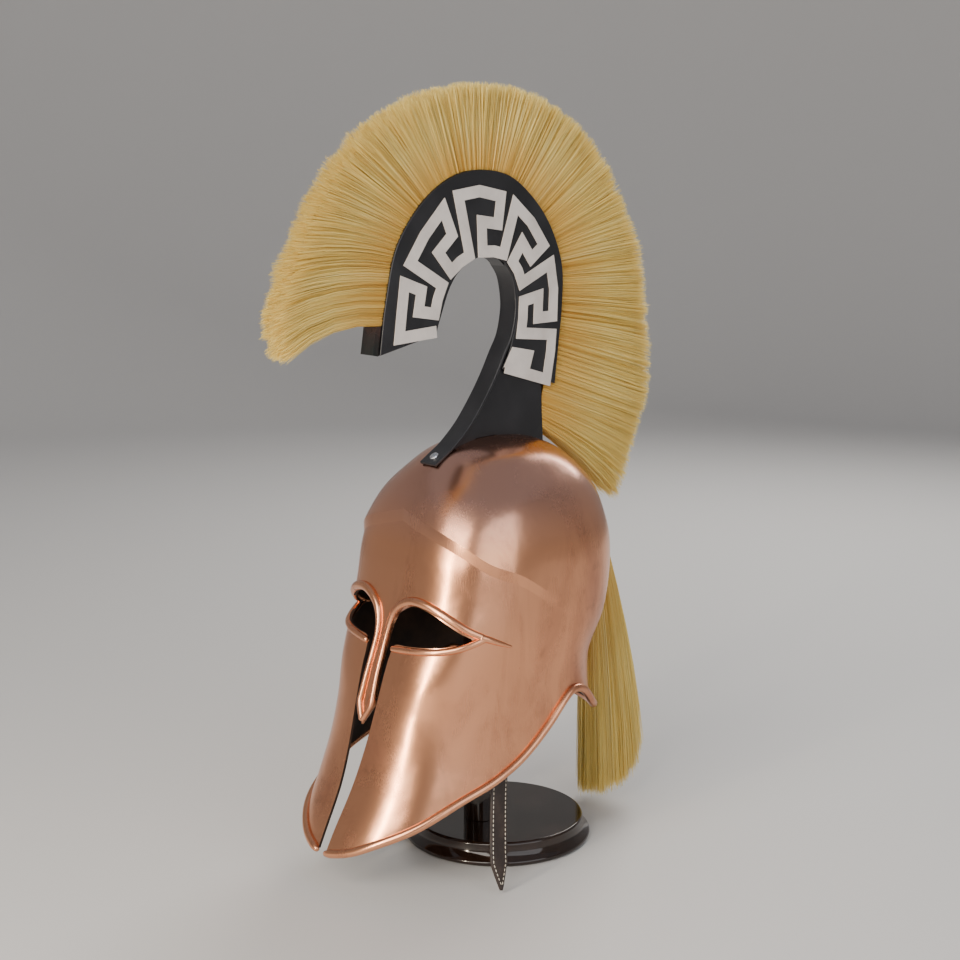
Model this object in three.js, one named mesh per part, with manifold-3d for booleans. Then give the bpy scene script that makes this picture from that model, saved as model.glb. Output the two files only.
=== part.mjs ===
// Greek bronze helmet with a raised arched crest of horsehair, on a plain turned stand.
// Millimetres, +Z up. The face looks along -Y, the wearer's left is +X,
// and the origin is under the middle of the stand.
import * as THREE from 'three';
import { mergeVertices } from 'three/addons/utils/BufferGeometryUtils.js';
import Module from 'manifold-3d';

const wasm = await Module();
wasm.setup();

const { PI, abs, cos, exp, max, min, sin } = Math;
const { clamp, degToRad, lerp, smoothstep } = THREE.MathUtils;

// ---------- driving dimensions ----------

const gap = 0.3;                 // between pieces that touch
const axisY = -10;               // the skull's upright axis stands at x = 0, y = axisY
const wall = 2.4;                // thickness of the sheet
const skinGrid = { columns: 56, domeRows: 6, bodyRows: 8 };
const hollowGrid = { columns: 36, domeRows: 5, bodyRows: 5 };

// Level sections of the helmet, from the top down: half width, reach ahead of the axis,
// reach behind it, and how square the face side is (2 is an ellipse).
const sections = [
  { z: 341.5, side: 0, front: 0, back: 0, square: 2.0 },
  { z: 338.5, side: 23, front: 25, back: 30, square: 2.0 },
  { z: 330, side: 44, front: 48, back: 55.5, square: 2.1 },
  { z: 316, side: 60, front: 65, back: 75, square: 2.3 },
  { z: 298, side: 74.5, front: 78.5, back: 89, square: 2.7 },
  { z: 277, side: 83.5, front: 88.5, back: 97, square: 2.9 },
  { z: 254, side: 87, front: 96, back: 103, square: 3.0 },
  { z: 225, side: 87, front: 101, back: 103, square: 3.1 },
  { z: 195, side: 86, front: 107, back: 95.5, square: 3.4 },
  { z: 165, side: 82.5, front: 117, back: 78, square: 3.5 },
  { z: 135, side: 82.5, front: 125.5, back: 77, square: 3.1 },
  { z: 105, side: 83.5, front: 134, back: 77, square: 3.0 },
  { z: 75, side: 86, front: 145, back: 77, square: 3.0 },
  { z: 45, side: 88, front: 160, back: 77, square: 2.8 },
  { z: 15, side: 89.5, front: 174.5, back: 77, square: 2.0 },
].map((row, step) => ({ step, ...row }));
const backSquare = 2.2;

// The sharp ridge under the skull dome: its height and how far the dome overhangs the face,
// by degrees around from the front.
const ridge = [
  { around: 0, z: 289, over: 2.8 },
  { around: 24, z: 279.5, over: 2.8 },
  { around: 38, z: 270, over: 2.7 },
  { around: 52, z: 255, over: 2.4 },
  { around: 67, z: 244, over: 1.7 },
  { around: 92, z: 218, over: 0.4 },
  { around: 112, z: 200, over: 0 },
  { around: 180, z: 190, over: 0 },
];
const ridgeBevel = 8.5;          // height of the bevel under the ridge line
const ridgeSwell = 26;           // height over which the overhang dies away upwards

// Height of the lower edge, by degrees around from the front: cheek tips, notch, neck guard.
const lowerEdge = [
  { around: 0, z: 24 },
  { around: 10, z: 31.5 },
  { around: 18, z: 41.5 },
  { around: 27, z: 52.5 },
  { around: 40, z: 70 },
  { around: 55, z: 83 },
  { around: 70, z: 97.5 },
  { around: 86, z: 117 },
  { around: 98, z: 134 },
  { around: 105, z: 139.5 },
  { around: 113, z: 136.5 },
  { around: 124, z: 122 },
  { around: 136, z: 114 },
  { around: 152, z: 112 },
  { around: 180, z: 111.5 },
];
const neckFlare = { out: 5.5, height: 26, from: 100, full: 124 };
const edgeRoll = { radius: 3.4, count: 54, tip: 2 };   // the rolled lower rim; tip in degrees around

// Half of the face opening, seen from the front: cheek edge, eye, and the side of the nose guard.
const cheekEdge = [
  { x: 5.2, z: -5 }, { x: 5.4, z: 30 }, { x: 6, z: 48 }, { x: 7.6, z: 72 }, { x: 9.6, z: 95 },
  { x: 12, z: 122 }, { x: 14, z: 150 }, { x: 15.4, z: 178 },
];
const eyeEdge = [
  { x: 18, z: 187.5 }, { x: 32, z: 189.3 }, { x: 46, z: 190.6 }, { x: 60, z: 192.2 },
  { x: 70, z: 194.6 }, { x: 76, z: 198.2 },
];
const browEdge = [
  { x: 70, z: 203.6 }, { x: 62, z: 209.8 }, { x: 53, z: 215 }, { x: 43, z: 218.6 }, { x: 32, z: 219.6 },
  { x: 22, z: 216.5 }, { x: 15, z: 211.2 }, { x: 11, z: 204.5 }, { x: 9, z: 196 },
];
const noseEdge = [
  { x: 8.2, z: 184 }, { x: 8.8, z: 162 }, { x: 9.8, z: 147 }, { x: 10.3, z: 140 }, { x: 0, z: 123.5 },
];

// Raised rims, seen from the front: the middle of each rim and its half width.
const browRim = [
  { x: 0.6, z: 127, half: 2.4 }, { x: 4.4, z: 133, half: 2.6 }, { x: 7.4, z: 139.5, half: 2.7 },
  { x: 7.2, z: 147, half: 2.6 }, { x: 6.4, z: 162, half: 2.4 }, { x: 5.9, z: 184, half: 2.3 },
  { x: 6.3, z: 195, half: 2.5 }, { x: 8, z: 204.5, half: 2.9 }, { x: 12, z: 212.8, half: 3.3 },
  { x: 20, z: 219.6, half: 3.6 }, { x: 31, z: 223.4, half: 3.8 }, { x: 43.5, z: 222.4, half: 3.7 },
  { x: 55, z: 218.4, half: 3.5 }, { x: 65, z: 212.4, half: 3.3 }, { x: 73, z: 205.8, half: 3.2 },
  { x: 79, z: 200, half: 3 },
];
const lidRim = [
  { x: 17.5, z: 184.6, half: 2.6 }, { x: 32, z: 186.2, half: 2.8 }, { x: 46, z: 187.4, half: 2.8 },
  { x: 60, z: 188.9, half: 2.8 }, { x: 70, z: 191.6, half: 2.8 }, { x: 76, z: 195.2, half: 2.9 },
  { x: 80, z: 199.2, half: 2.9 },
];
const rimTail = [
  { around: 47, z: 200.5, half: 3.2 }, { around: 51, z: 197.6, half: 2.7 },
  { around: 56, z: 193.6, half: 2.0 }, { around: 61, z: 189.8, half: 1.0 },
];

// The crest board, seen from the side: outer and inner outline of the arch, front to back.
const boardOuter = [
  [-124, 412], [-118, 452], [-107, 494], [-82, 527], [-52, 546], [-20, 550.5], [10, 543], [41, 515],
  [58.5, 479], [60, 445], [56, 408], [52.5, 378],
];
const boardInner = [
  [-4, 394], [5, 412], [11.5, 440], [7.5, 466], [-5, 480.5], [-23, 484.5], [-43, 476.5], [-56, 462],
  [-66, 438], [-70.5, 425],
];
const web = { backTop: [39, 380], backFoot: [42, 318], frontFoot: [-50, 318] };
const boardHalf = 10;            // half thickness over the side plates
const plate = 1.8;               // thickness of a side plate

// Stations of the key pattern: inner and outer edge of the band of ornament, front to back.
const keyStations = [
  { unit: 0, innerY: -71, innerZ: 427.5, outerY: -111, outerZ: 424 },
  { unit: 1, innerY: -61, innerZ: 460.5, outerY: -99.5, outerZ: 483 },
  { unit: 2, innerY: -37, innerZ: 480.5, outerY: -50, outerZ: 535.5 },
  { unit: 3, innerY: -5, innerZ: 481, outerY: 10, outerZ: 528 },
  { unit: 4, innerY: 11.5, innerZ: 460, outerY: 50, outerZ: 478.5 },
  { unit: 5, innerY: 10.5, innerZ: 422, outerY: 52.5, outerZ: 418.5 },
  { unit: 6, innerY: -1.5, innerZ: 395, outerY: 47, outerZ: 381 },
];
const keyBand = 9.2;             // width of the white band
const keyInset = 4.6;            // from the edges of the ornament to the middle of the band
const keyBlock = [[5.38, -0.15], [6, -0.15], [6, 0.5], [5.38, 0.5]];
const keyTurns = [[0, 0], [0, 1], [0.72, 1], [0.72, 0.5], [0.38, 0.5], [0.38, 0]];
const keyRelief = 0.7;           // its thickness on the plate

// The black band along the inside of the arch and down to the brow, seen from the side.
const strapLine = [
  [-1, 479], [7, 467], [10.6, 450], [10.4, 437], [6.5, 420], [-1, 406], [-10, 389], [-21, 371.5],
  [-36, 351.5], [-51, 337], [-60, 330.5], [-72, 322.5],
];
const strap = { half: 10, thick: 2.4, end: -73.5 };
const crestRivetHead = { radius: 3.8, height: 1.6, along: 0.955 };
const crestEnd = [[-124.5, 411.5], [-129.5, 412.5], [-126.3, 434], [-121.5, 434]];
const crestEndHalf = 8;

// The fan of hair, seen from the side: root and tip of a lock at places from front to back.
const fanRows = [
  { rootY: -127, rootZ: 440, tipY: -213, tipZ: 410 },
  { rootY: -120, rootZ: 455, tipY: -220, tipZ: 440 },
  { rootY: -115, rootZ: 480, tipY: -207, tipZ: 480 },
  { rootY: -104, rootZ: 505, tipY: -181, tipZ: 530 },
  { rootY: -84, rootZ: 530, tipY: -138, tipZ: 578 },
  { rootY: -54, rootZ: 549, tipY: -82, tipZ: 608 },
  { rootY: -20, rootZ: 554, tipY: -20, tipZ: 618 },
  { rootY: 13, rootZ: 546, tipY: 44, tipZ: 608 },
  { rootY: 44, rootZ: 518, tipY: 104, tipZ: 567 },
  { rootY: 62, rootZ: 481, tipY: 149, tipZ: 495 },
  { rootY: 63.5, rootZ: 445, tipY: 162, tipZ: 435 },
  { rootY: 59.5, rootZ: 408, tipY: 167, tipZ: 375 },
  { rootY: 46, rootZ: 368, tipY: 153, tipZ: 326 },
  { rootY: 47, rootZ: 340, tipY: 132, tipZ: 268 },
].map((row, place) => ({ place, ...row }));
const fan = {
  locks: 28, rootHalf: 9.5, spread: 12.5, tipHalf: 5, shoulder: 0.86, tip: 1.025, uneven: 0.03, backing: 6,
};

// The tail: middle and half sizes of the hanging hair at each height.
const tailRows = [
  { z: 268, y: 102, halfX: 8, halfY: 6 },
  { z: 250, y: 105, halfX: 12, halfY: 8 },
  { z: 216, y: 109, halfX: 18, halfY: 12 },
  { z: 168, y: 117, halfX: 21, halfY: 20 },
  { z: 129, y: 123.5, halfX: 22, halfY: 25 },
  { z: 80, y: 130, halfX: 23, halfY: 29 },
  { z: 42, y: 132, halfX: 24, halfY: 30 },
  { z: 8, y: 130, halfX: 24, halfY: 30 },
];

const tailLocks = [
  { along: -0.78, half: 0.62, drop: -3 }, { along: -0.46, half: 0.92, drop: -5 },
  { along: -0.12, half: 1, drop: -2 }, { along: 0.22, half: 0.96, drop: 3 },
  { along: 0.54, half: 0.82, drop: 9 }, { along: 0.8, half: 0.5, drop: 16 },
];
const tailLock = { deep: 0.26, tip: 0.22 };
const ferrule = { y: 102.3, z: 272.8, radius: 8, height: 9 };

const chinStrap = { half: 8, thick: 2.6, point: 22 };
const chinLine = [
  { x: 75, y: -59, z: 152 }, { x: 76, y: -60.5, z: 125 }, { x: 76.9, y: -61.5, z: 100 },
  { x: 77.6, y: -62.8, z: 82 }, { x: 80.8, y: -66, z: 66 }, { x: 86, y: -70.5, z: 45 },
  { x: 92.5, y: -75.5, z: 24 }, { x: 100, y: -79, z: 2.5 },
];
const chinRivetHead = { radius: 4, height: 1.8, inside: 1.8, below: 7 };

const base = { radius: 78, top: 71, height: 18 };
const post = { radius: 14.5, y: -18 };
const cap = { radius: 30, y: -14, bottom: 318 };

// ---------- finishes ----------

const finish = (color, roughness, metalness) => (
  new THREE.MeshStandardMaterial({ color, roughness, metalness }));
const copper = () => finish(0xb5714e, 0.28, 1);
const blackPaint = () => finish(0x0d0d10, 0.35, 0);
const whitePaint = () => finish(0xd9d4cc, 0.5, 0);
const hair = () => finish(0xe6cf72, 0.55, 0);
const steel = () => finish(0xc9ccd0, 0.3, 1);
const leather = () => finish(0x1d1614, 0.6, 0);
const lacquer = () => finish(0x140b08, 0.15, 0);

// ---------- helpers ----------

// Reads a table at one value of its key column, with a smooth cubic through the rows.
function readTable(rows, key, at) {
  const last = rows.length - 1;
  let i = 0;
  while (i < last - 1 && at > rows[i + 1][key]) i += 1;
  const [a, b] = [rows[i], rows[i + 1]];
  const span = b[key] - a[key];
  const f = clamp((at - a[key]) / span, 0, 1);
  const slope = (j, column) => {
    const [before, after] = [rows[max(j - 1, 0)], rows[min(j + 1, last)]];
    return (after[column] - before[column]) / (after[key] - before[key]);
  };
  const result = {};
  for (const column of Object.keys(a)) {
    const [ma, mb] = [slope(i, column) * span, slope(i + 1, column) * span];
    const rise = b[column] - a[column];
    result[column] = a[column] + f * (ma + f * (3 * rise - 2 * ma - mb + f * (ma + mb - 2 * rise)));
  }
  return result;
}

// Finds where a rising or falling function passes a value.
function solve(from, to, value, measure) {
  const rising = measure(to) > measure(from);
  let [low, high] = [from, to];
  for (let i = 0; i < 30; i += 1) {
    const middle = (low + high) / 2;
    if ((measure(middle) < value) === rising) low = middle;
    else high = middle;
  }
  return (low + high) / 2;
}

function toSolid(geometry) {
  const bare = geometry.index ? geometry.toNonIndexed() : geometry.clone();
  for (const name of Object.keys(bare.attributes)) if (name !== 'position') bare.deleteAttribute(name);
  const merged = mergeVertices(bare, 1e-4);
  return new wasm.Manifold(new wasm.Mesh({
    numProp: 3,
    vertProperties: Float32Array.from(merged.attributes.position.array),
    triVerts: Uint32Array.from(merged.index.array),
  }));
}

function toGeometry(solid) {
  const mesh = solid.getMesh();
  const geometry = new THREE.BufferGeometry();
  geometry.setAttribute('position', new THREE.BufferAttribute(mesh.vertProperties, 3));
  geometry.setIndex(new THREE.BufferAttribute(mesh.triVerts, 1));
  return geometry;
}

const joined = (solids) => solids.reduce((sum, solid) => sum.add(solid));

// Skins a pile of closed rings, each with the same number of points, and closes both ends.
function loft(rings) {
  const count = rings[0].length;
  const points = rings.flat();
  const faces = [];
  for (let r = 0; r + 1 < rings.length; r += 1) {
    for (let i = 0; i < count; i += 1) {
      const [a, b] = [r * count + i, r * count + ((i + 1) % count)];
      faces.push(a, b, a + count, b, b + count, a + count);
    }
  }
  const middles = [rings[0], rings.at(-1)].map((ring) => {
    const middle = new THREE.Vector3();
    ring.forEach((point) => middle.add(point));
    return middle.divideScalar(count);
  });
  const [first, last] = [points.length, points.length + 1];
  points.push(...middles);
  const top = (rings.length - 1) * count;
  for (let i = 0; i < count; i += 1) {
    const next = (i + 1) % count;
    faces.push(first, next, i, last, top + i, top + next);
  }
  let volume = 0;
  for (let i = 0; i < faces.length; i += 3) {
    const [a, b, c] = [points[faces[i]], points[faces[i + 1]], points[faces[i + 2]]];
    volume += a.dot(b.clone().cross(c));
  }
  const geometry = new THREE.BufferGeometry().setFromPoints(points);
  geometry.setIndex(volume > 0 ? faces : faces.reverse());
  return geometry;
}

// A round rod along a curve, whose half thickness changes along it.
function taperedRod(points, halves, steps, sides) {
  const curve = new THREE.CatmullRomCurve3(points);
  const frames = curve.computeFrenetFrames(steps, false);
  const rings = [];
  for (let s = 0; s <= steps; s += 1) {
    const middle = curve.getPoint(s / steps);
    const place = (s / steps) * (halves.length - 1);
    const k = min(Math.floor(place), halves.length - 2);
    const radius = lerp(halves[k], halves[k + 1], place - k);
    const ring = [];
    for (let i = 0; i < sides; i += 1) {
      const turn = (2 * PI * i) / sides;
      ring.push(middle.clone()
        .addScaledVector(frames.normals[s], radius * cos(turn))
        .addScaledVector(frames.binormals[s], radius * sin(turn)));
    }
    rings.push(ring);
  }
  return loft(rings);
}

// A flat outline in the side view (y, z), given its thickness from x = low to x = high.
function sideSlab(outline, low, high, holes = []) {
  const shape = new THREE.Shape(outline);
  shape.holes = holes;
  const slab = new THREE.ExtrudeGeometry(shape, { depth: high - low, bevelEnabled: false, curveSegments: 6 });
  const turn = new THREE.Matrix4().makeBasis(
    new THREE.Vector3(0, 1, 0), new THREE.Vector3(0, 0, 1), new THREE.Vector3(1, 0, 0),
  );
  return slab.applyMatrix4(turn).translate(low, 0, 0);
}

const sidePoints = (rows) => rows.map(([y, z]) => new THREE.Vector2(y, z));
const smoothLine = (rows, count) => new THREE.SplineCurve(sidePoints(rows)).getSpacedPoints(count);

// ---------- the shape of the helmet's sheet ----------

const stepAtHeight = (z) => solve(0, sections.length - 1, z, (step) => readTable(sections, 'step', step).z);
const halfTurn = (around) => abs(((around + 180) % 360 + 360) % 360 - 180);
const edgeHeight = (around) => readTable(lowerEdge, 'around', halfTurn(around)).z;

function plainPoint(step, around) {
  const row = readTable(sections, 'step', step);
  const [across, ahead] = [sin(degToRad(around)), cos(degToRad(around))];
  const square = lerp(backSquare, row.square, smoothstep(ahead, -0.5, 0.5));
  const depth = ahead > 0 ? row.front : row.back;
  if (row.side < 1e-6) return new THREE.Vector3(0, axisY, row.z);
  const spread = ((abs(across) / row.side) ** square + (abs(ahead) / depth) ** square) ** (-1 / square);
  return new THREE.Vector3(spread * across, axisY - spread * ahead, row.z);
}

function outward(step, around) {
  if (step < 0.02) return new THREE.Vector3(0, 0, 1);
  const down = plainPoint(step + 0.01, around).sub(plainPoint(step - 0.01, around));
  const along = plainPoint(step, around + 0.2).sub(plainPoint(step, around - 0.2));
  return down.cross(along).normalize();
}

// How far the ridge's overhang and the neck flare lift the sheet.
function relief(z, around) {
  const turn = halfTurn(around);
  const line = readTable(ridge, 'around', turn);
  const below = line.z - z;
  const swell = below < 0 ? exp(below / ridgeSwell) : max(0, 1 - below / ridgeBevel);
  const near = clamp(1 - (z - edgeHeight(turn)) / neckFlare.height, 0, 1.3);
  return line.over * swell + neckFlare.out * near ** 2 * smoothstep(turn, neckFlare.from, neckFlare.full);
}

function sheetPoint(step, around, lift) {
  const point = plainPoint(step, around);
  return point.addScaledVector(outward(step, around), lift + relief(point.z, around));
}

// The point of the sheet that shows at (x, z) from the front.
function facePoint(x, z, lift) {
  const step = stepAtHeight(z);
  const around = solve(0, 90, abs(x), (angle) => plainPoint(step, angle).x);
  return sheetPoint(step, around * Math.sign(x || 1), lift);
}

// A closed skin of the helmet, lifted off the sheet's outside and reaching `below` under its edge.
function skin({ columns, domeRows, bodyRows, lift, below }) {
  const rings = [];
  const arounds = Array.from({ length: columns }, (_, i) => (360 * i) / columns);
  const ridgeTop = arounds.map((around) => stepAtHeight(readTable(ridge, 'around', halfTurn(around)).z));
  const ridgeFoot = arounds.map((around) => (
    stepAtHeight(readTable(ridge, 'around', halfTurn(around)).z - ridgeBevel)));
  const foot = arounds.map((around) => stepAtHeight(edgeHeight(around) - below));
  const ring = (steps) => arounds.map((around, i) => sheetPoint(steps[i], around, lift));
  for (let r = 1; r <= domeRows; r += 1) rings.push(ring(ridgeTop.map((top) => (top * r) / domeRows)));
  for (let r = 0; r <= bodyRows; r += 1) {
    rings.push(ring(ridgeFoot.map((top, i) => lerp(top, foot[i], r / bodyRows))));
  }
  const geometry = loft(rings);
  const crown = geometry.attributes.position;
  crown.setXYZ(crown.count - 2, 0, axisY, sections[0].z + lift + ridge[0].over * exp(-2));
  crown.setXYZ(crown.count - 1, 0, axisY, 125 - below * 3);
  return toSolid(geometry);
}

// ---------- helmet ----------

function faceOpening() {
  const curved = (points, count) => new THREE.SplineCurve(
    points.map(({ x, z }) => new THREE.Vector2(x, z)),
  ).getSpacedPoints(count);
  const half = [
    ...curved(cheekEdge, 8), ...curved([...eyeEdge, ...browEdge], 26), ...curved(noseEdge.slice(0, -1), 5),
  ];
  const tip = noseEdge.at(-1);
  const mirrored = half.map((point) => new THREE.Vector2(-point.x, point.y)).reverse();
  const shape = new THREE.Shape([...half, new THREE.Vector2(tip.x, tip.z), ...mirrored]);
  const cutter = new THREE.ExtrudeGeometry(shape, { depth: 170, bevelEnabled: false });
  const turn = new THREE.Matrix4().makeBasis(
    new THREE.Vector3(1, 0, 0), new THREE.Vector3(0, 0, 1), new THREE.Vector3(0, -1, 0),
  );
  return toSolid(cutter.applyMatrix4(turn).translate(0, -50, 0));
}

function rimRod(rows, side, steps) {
  const points = rows.map((row) => {
    if (row.around) return sheetPoint(stepAtHeight(row.z), side * row.around, 0.2);
    return facePoint(side * row.x, row.z, 0.2);
  });
  return toSolid(taperedRod(points, rows.map((row) => row.half), steps, 5));
}

function lowerRoll() {
  const { radius, count, tip } = edgeRoll;
  const points = Array.from({ length: count + 1 }, (_, i) => {
    const around = lerp(tip, 360 - tip, i / count);
    return sheetPoint(stepAtHeight(edgeHeight(around) + radius * 0.8), around, 0.4);
  });
  const halves = points.map((_, i) => (i % count === 0 ? radius * 0.7 : radius));
  return toSolid(taperedRod(points, halves, count, 5));
}

function helmetShell() {
  const outside = skin({ ...skinGrid, lift: 0, below: 0 });
  const inside = skin({ ...hollowGrid, lift: -wall, below: 8 });
  const rims = [lowerRoll()];
  for (const side of [1, -1]) {
    rims.push(rimRod([...browRim, ...rimTail], side, 32), rimRod(lidRim, side, 8));
  }
  return toGeometry(joined([outside.subtract(faceOpening()), ...rims]).subtract(inside));
}

// ---------- crest ----------

const strapMiddle = () => new THREE.SplineCurve(sidePoints(strapLine));

function strapBand(extra) {
  const middle = strapMiddle();
  const count = 26;
  const reach = strap.thick / 2 + extra;
  const sides = [1, -1].map((side) => Array.from({ length: count + 1 }, (_, i) => {
    const { x, y } = middle.getTangentAt(i / count);
    return middle.getPointAt(i / count).add(new THREE.Vector2(-y, x).multiplyScalar(side * reach));
  }));
  return toSolid(sideSlab([...sides[0], ...sides[1].reverse()], -strap.half - extra, strap.half + extra));
}

function boardOutline(withWeb) {
  const brow = withWeb ? [...strapLine].reverse().slice(2, 6) : [];
  const foot = withWeb ? [web.backTop, web.backFoot, web.frontFoot] : [];
  return [...smoothLine(boardOuter, 30), ...sidePoints([...foot, ...brow]), ...smoothLine(boardInner, 12)];
}

function crestCore(skull) {
  const half = boardHalf - plate - gap;
  const board = toSolid(sideSlab(boardOutline(true), -half, half));
  return toGeometry(board.subtract(skull).subtract(strapBand(gap)));
}

function crestPlate(side) {
  const [low, high] = side > 0 ? [boardHalf - plate, boardHalf] : [-boardHalf, plate - boardHalf];
  return toGeometry(toSolid(sideSlab(boardOutline(false), low, high)).subtract(strapBand(gap)));
}

function crestStrap(skull) {
  const plan = new THREE.Shape()
    .moveTo(strap.half, 80)
    .lineTo(-strap.half, 80)
    .lineTo(-strap.half, strap.end + strap.half)
    .absarc(0, strap.end + strap.half, strap.half, PI, 2 * PI, false);
  const trim = new THREE.ExtrudeGeometry(plan, { depth: 300, bevelEnabled: false, curveSegments: 6 });
  return toGeometry(strapBand(0).intersect(toSolid(trim.translate(0, 0, 250))).subtract(skull));
}

// A low round head, flat underneath, standing on the plane z = 0.
function rivetHead({ radius, height }) {
  const profile = [[0, 0], [1, 0], [0.9, 0.55], [0.55, 0.92], [0, 1]];
  const points = profile.map(([r, z]) => new THREE.Vector2(r * radius, z * height));
  return new THREE.LatheGeometry(points, 12).rotateX(PI / 2);
}

function crestRivet() {
  const middle = strapMiddle();
  const [point, along] = [middle.getPointAt(crestRivetHead.along), middle.getTangentAt(crestRivetHead.along)];
  const lift = strap.thick / 2 + gap;
  return rivetHead(crestRivetHead)
    .rotateX(Math.atan2(along.y, along.x) - PI)
    .translate(0, point.x + lift * along.y, point.y - lift * along.x);
}

const endBlock = () => sideSlab(sidePoints(crestEnd), -crestEndHalf, crestEndHalf);

// One point of the key pattern: units along the arch, and 0 at the inner edge to 1 at the outer.
function keyPoint(unit, across) {
  const { innerY, innerZ, outerY, outerZ } = readTable(keyStations, 'unit', unit);
  const [inner, outer] = [new THREE.Vector2(innerY, innerZ), new THREE.Vector2(outerY, outerZ)];
  const inset = keyInset / inner.distanceTo(outer);
  return inner.lerp(outer, lerp(inset, 1 - inset, across));
}

function keyLine() {
  const turns = [];
  for (let unit = 0; unit < 5; unit += 1) for (const [s, r] of keyTurns) turns.push([unit + s, r]);
  turns.push([5, 0], [5, 1], [6, 1], [6, 0]);
  const line = [];
  turns.slice(0, -1).forEach(([s, r], i) => {
    const [nextS, nextR] = turns[i + 1];
    const pieces = max(1, Math.round(abs(nextS - s) / 0.3));
    for (let k = 0; k < pieces; k += 1) {
      line.push(keyPoint(lerp(s, nextS, k / pieces), lerp(r, nextR, k / pieces)));
    }
  });
  return [...line, keyPoint(6, 0)];
}

// Both edges of a band along a line, with square corners and square ends.
function bandOutline(line, half) {
  const edges = [[], []];
  const direction = (i) => line[i + 1].clone().sub(line[i]).normalize();
  line.forEach((point, i) => {
    const [before, after] = [direction(max(i - 1, 0)), direction(min(i, line.length - 2))];
    const mitre = before.clone().add(after).normalize();
    const reach = half / max(0.4, mitre.dot(after));
    const across = new THREE.Vector2(-mitre.y, mitre.x);
    const end = i === 0 ? -half : half * Number(i === line.length - 1);
    [1, -1].forEach((side, k) => edges[k].push(
      point.clone().addScaledVector(across, side * reach).addScaledVector(after, end),
    ));
  });
  return [...edges[0], ...edges[1].reverse()];
}

function meander(side) {
  const [near, far] = [boardHalf + gap, boardHalf + gap + keyRelief];
  const [low, high] = side > 0 ? [near, far] : [-far, -near];
  const band = toSolid(sideSlab(bandOutline(keyLine(), keyBand / 2), low, high));
  const block = keyBlock.map(([unit, across]) => keyPoint(unit, across));
  return toGeometry(band.add(toSolid(sideSlab(block, low, high))));
}

// ---------- hair ----------

const fanPlace = (place, reach) => {
  const row = readTable(fanRows, 'place', clamp(place, 0, fanRows.length - 1));
  return new THREE.Vector2(lerp(row.rootY, row.tipY, reach), lerp(row.rootZ, row.tipZ, reach));
};

function lock(index) {
  const step = (fanRows.length - 1) / fan.locks;
  const place = (index + 0.5) * step;
  const reaches = [-0.06, 0.45, fan.shoulder, fan.tip - (fan.uneven * ((index * 7) % 5)) / 4];
  const profile = [
    { thick: fan.rootHalf, wide: 0.78 }, { thick: fan.spread, wide: 0.78 },
    { thick: fan.spread - 1, wide: 0.74 }, { thick: fan.tipHalf, wide: 0.16 },
  ];
  return toSolid(loft(profile.map(({ thick, wide }, k) => {
    const reach = reaches[k];
    const middle = fanPlace(place, reach);
    const [ahead, behind] = [fanPlace(place - step / 2, reach), fanPlace(place + step / 2, reach)];
    const across = behind.sub(ahead).multiplyScalar(wide);
    return [[1, 0], [0, 1], [-1, 0], [0, -1]].map(([x, w]) => new THREE.Vector3(
      x * thick, middle.x + w * across.x, middle.y + w * across.y,
    ));
  })));
}

// What the hair keeps clear of: the board, a hair's breadth larger than it is.
function boardRoom() {
  const line = smoothLine(boardOuter, 30);
  const grown = line.map((point, i) => {
    const along = line[min(i + 1, 30)].clone().sub(line[max(i - 1, 0)]).normalize();
    return point.clone().add(new THREE.Vector2(-along.y, along.x).multiplyScalar(gap));
  });
  const foot = sidePoints([boardOuter.at(-1), web.backTop, web.backFoot, web.frontFoot, [-110, 400]]);
  for (const point of foot.slice(0, 3)) point.add(new THREE.Vector2(gap, -gap * 2));
  return toSolid(sideSlab([...grown, ...foot], -40, 40));
}

function plume(skull) {
  const last = fanRows.length - 1;
  const arc = (reach) => Array.from({ length: 29 }, (_, i) => fanPlace(lerp(0.3, last - 0.3, i / 28), reach));
  const backing = toSolid(sideSlab([...arc(-0.06), ...arc(0.8).reverse()], -fan.backing, fan.backing));
  const locks = Array.from({ length: fan.locks }, (_, index) => lock(index));
  return toGeometry(joined([backing, ...locks]).subtract(boardRoom()).subtract(skull));
}

function tailStrand({ along, half, drop }) {
  const last = tailRows.length - 1;
  return toSolid(loft(tailRows.map(({ z, y, halfX, halfY }, k) => {
    const narrow = k === last ? tailLock.tip : 1;
    return [0, 1, 2, 3, 4, 5].map((i) => new THREE.Vector3(
      halfX * half * narrow * 1.15 * sin((i * PI) / 3),
      y + halfY * (along + tailLock.deep * narrow * cos((i * PI) / 3)),
      k === last ? z + drop : z,
    ));
  })));
}

const plumeTail = () => toGeometry(joined(tailLocks.map(tailStrand)));

function tailFerrule(skull) {
  const { y, z, radius, height } = ferrule;
  const collar = new THREE.CylinderGeometry(radius, radius, height, 20).rotateX(PI / 2).translate(0, y, z);
  const arm = new THREE.BoxGeometry(radius * 1.4, 20, height - 4).translate(0, y - 10, z);
  return toGeometry(joined([toSolid(collar), toSolid(arm)]).subtract(skull));
}

// ---------- chin strap ----------

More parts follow.
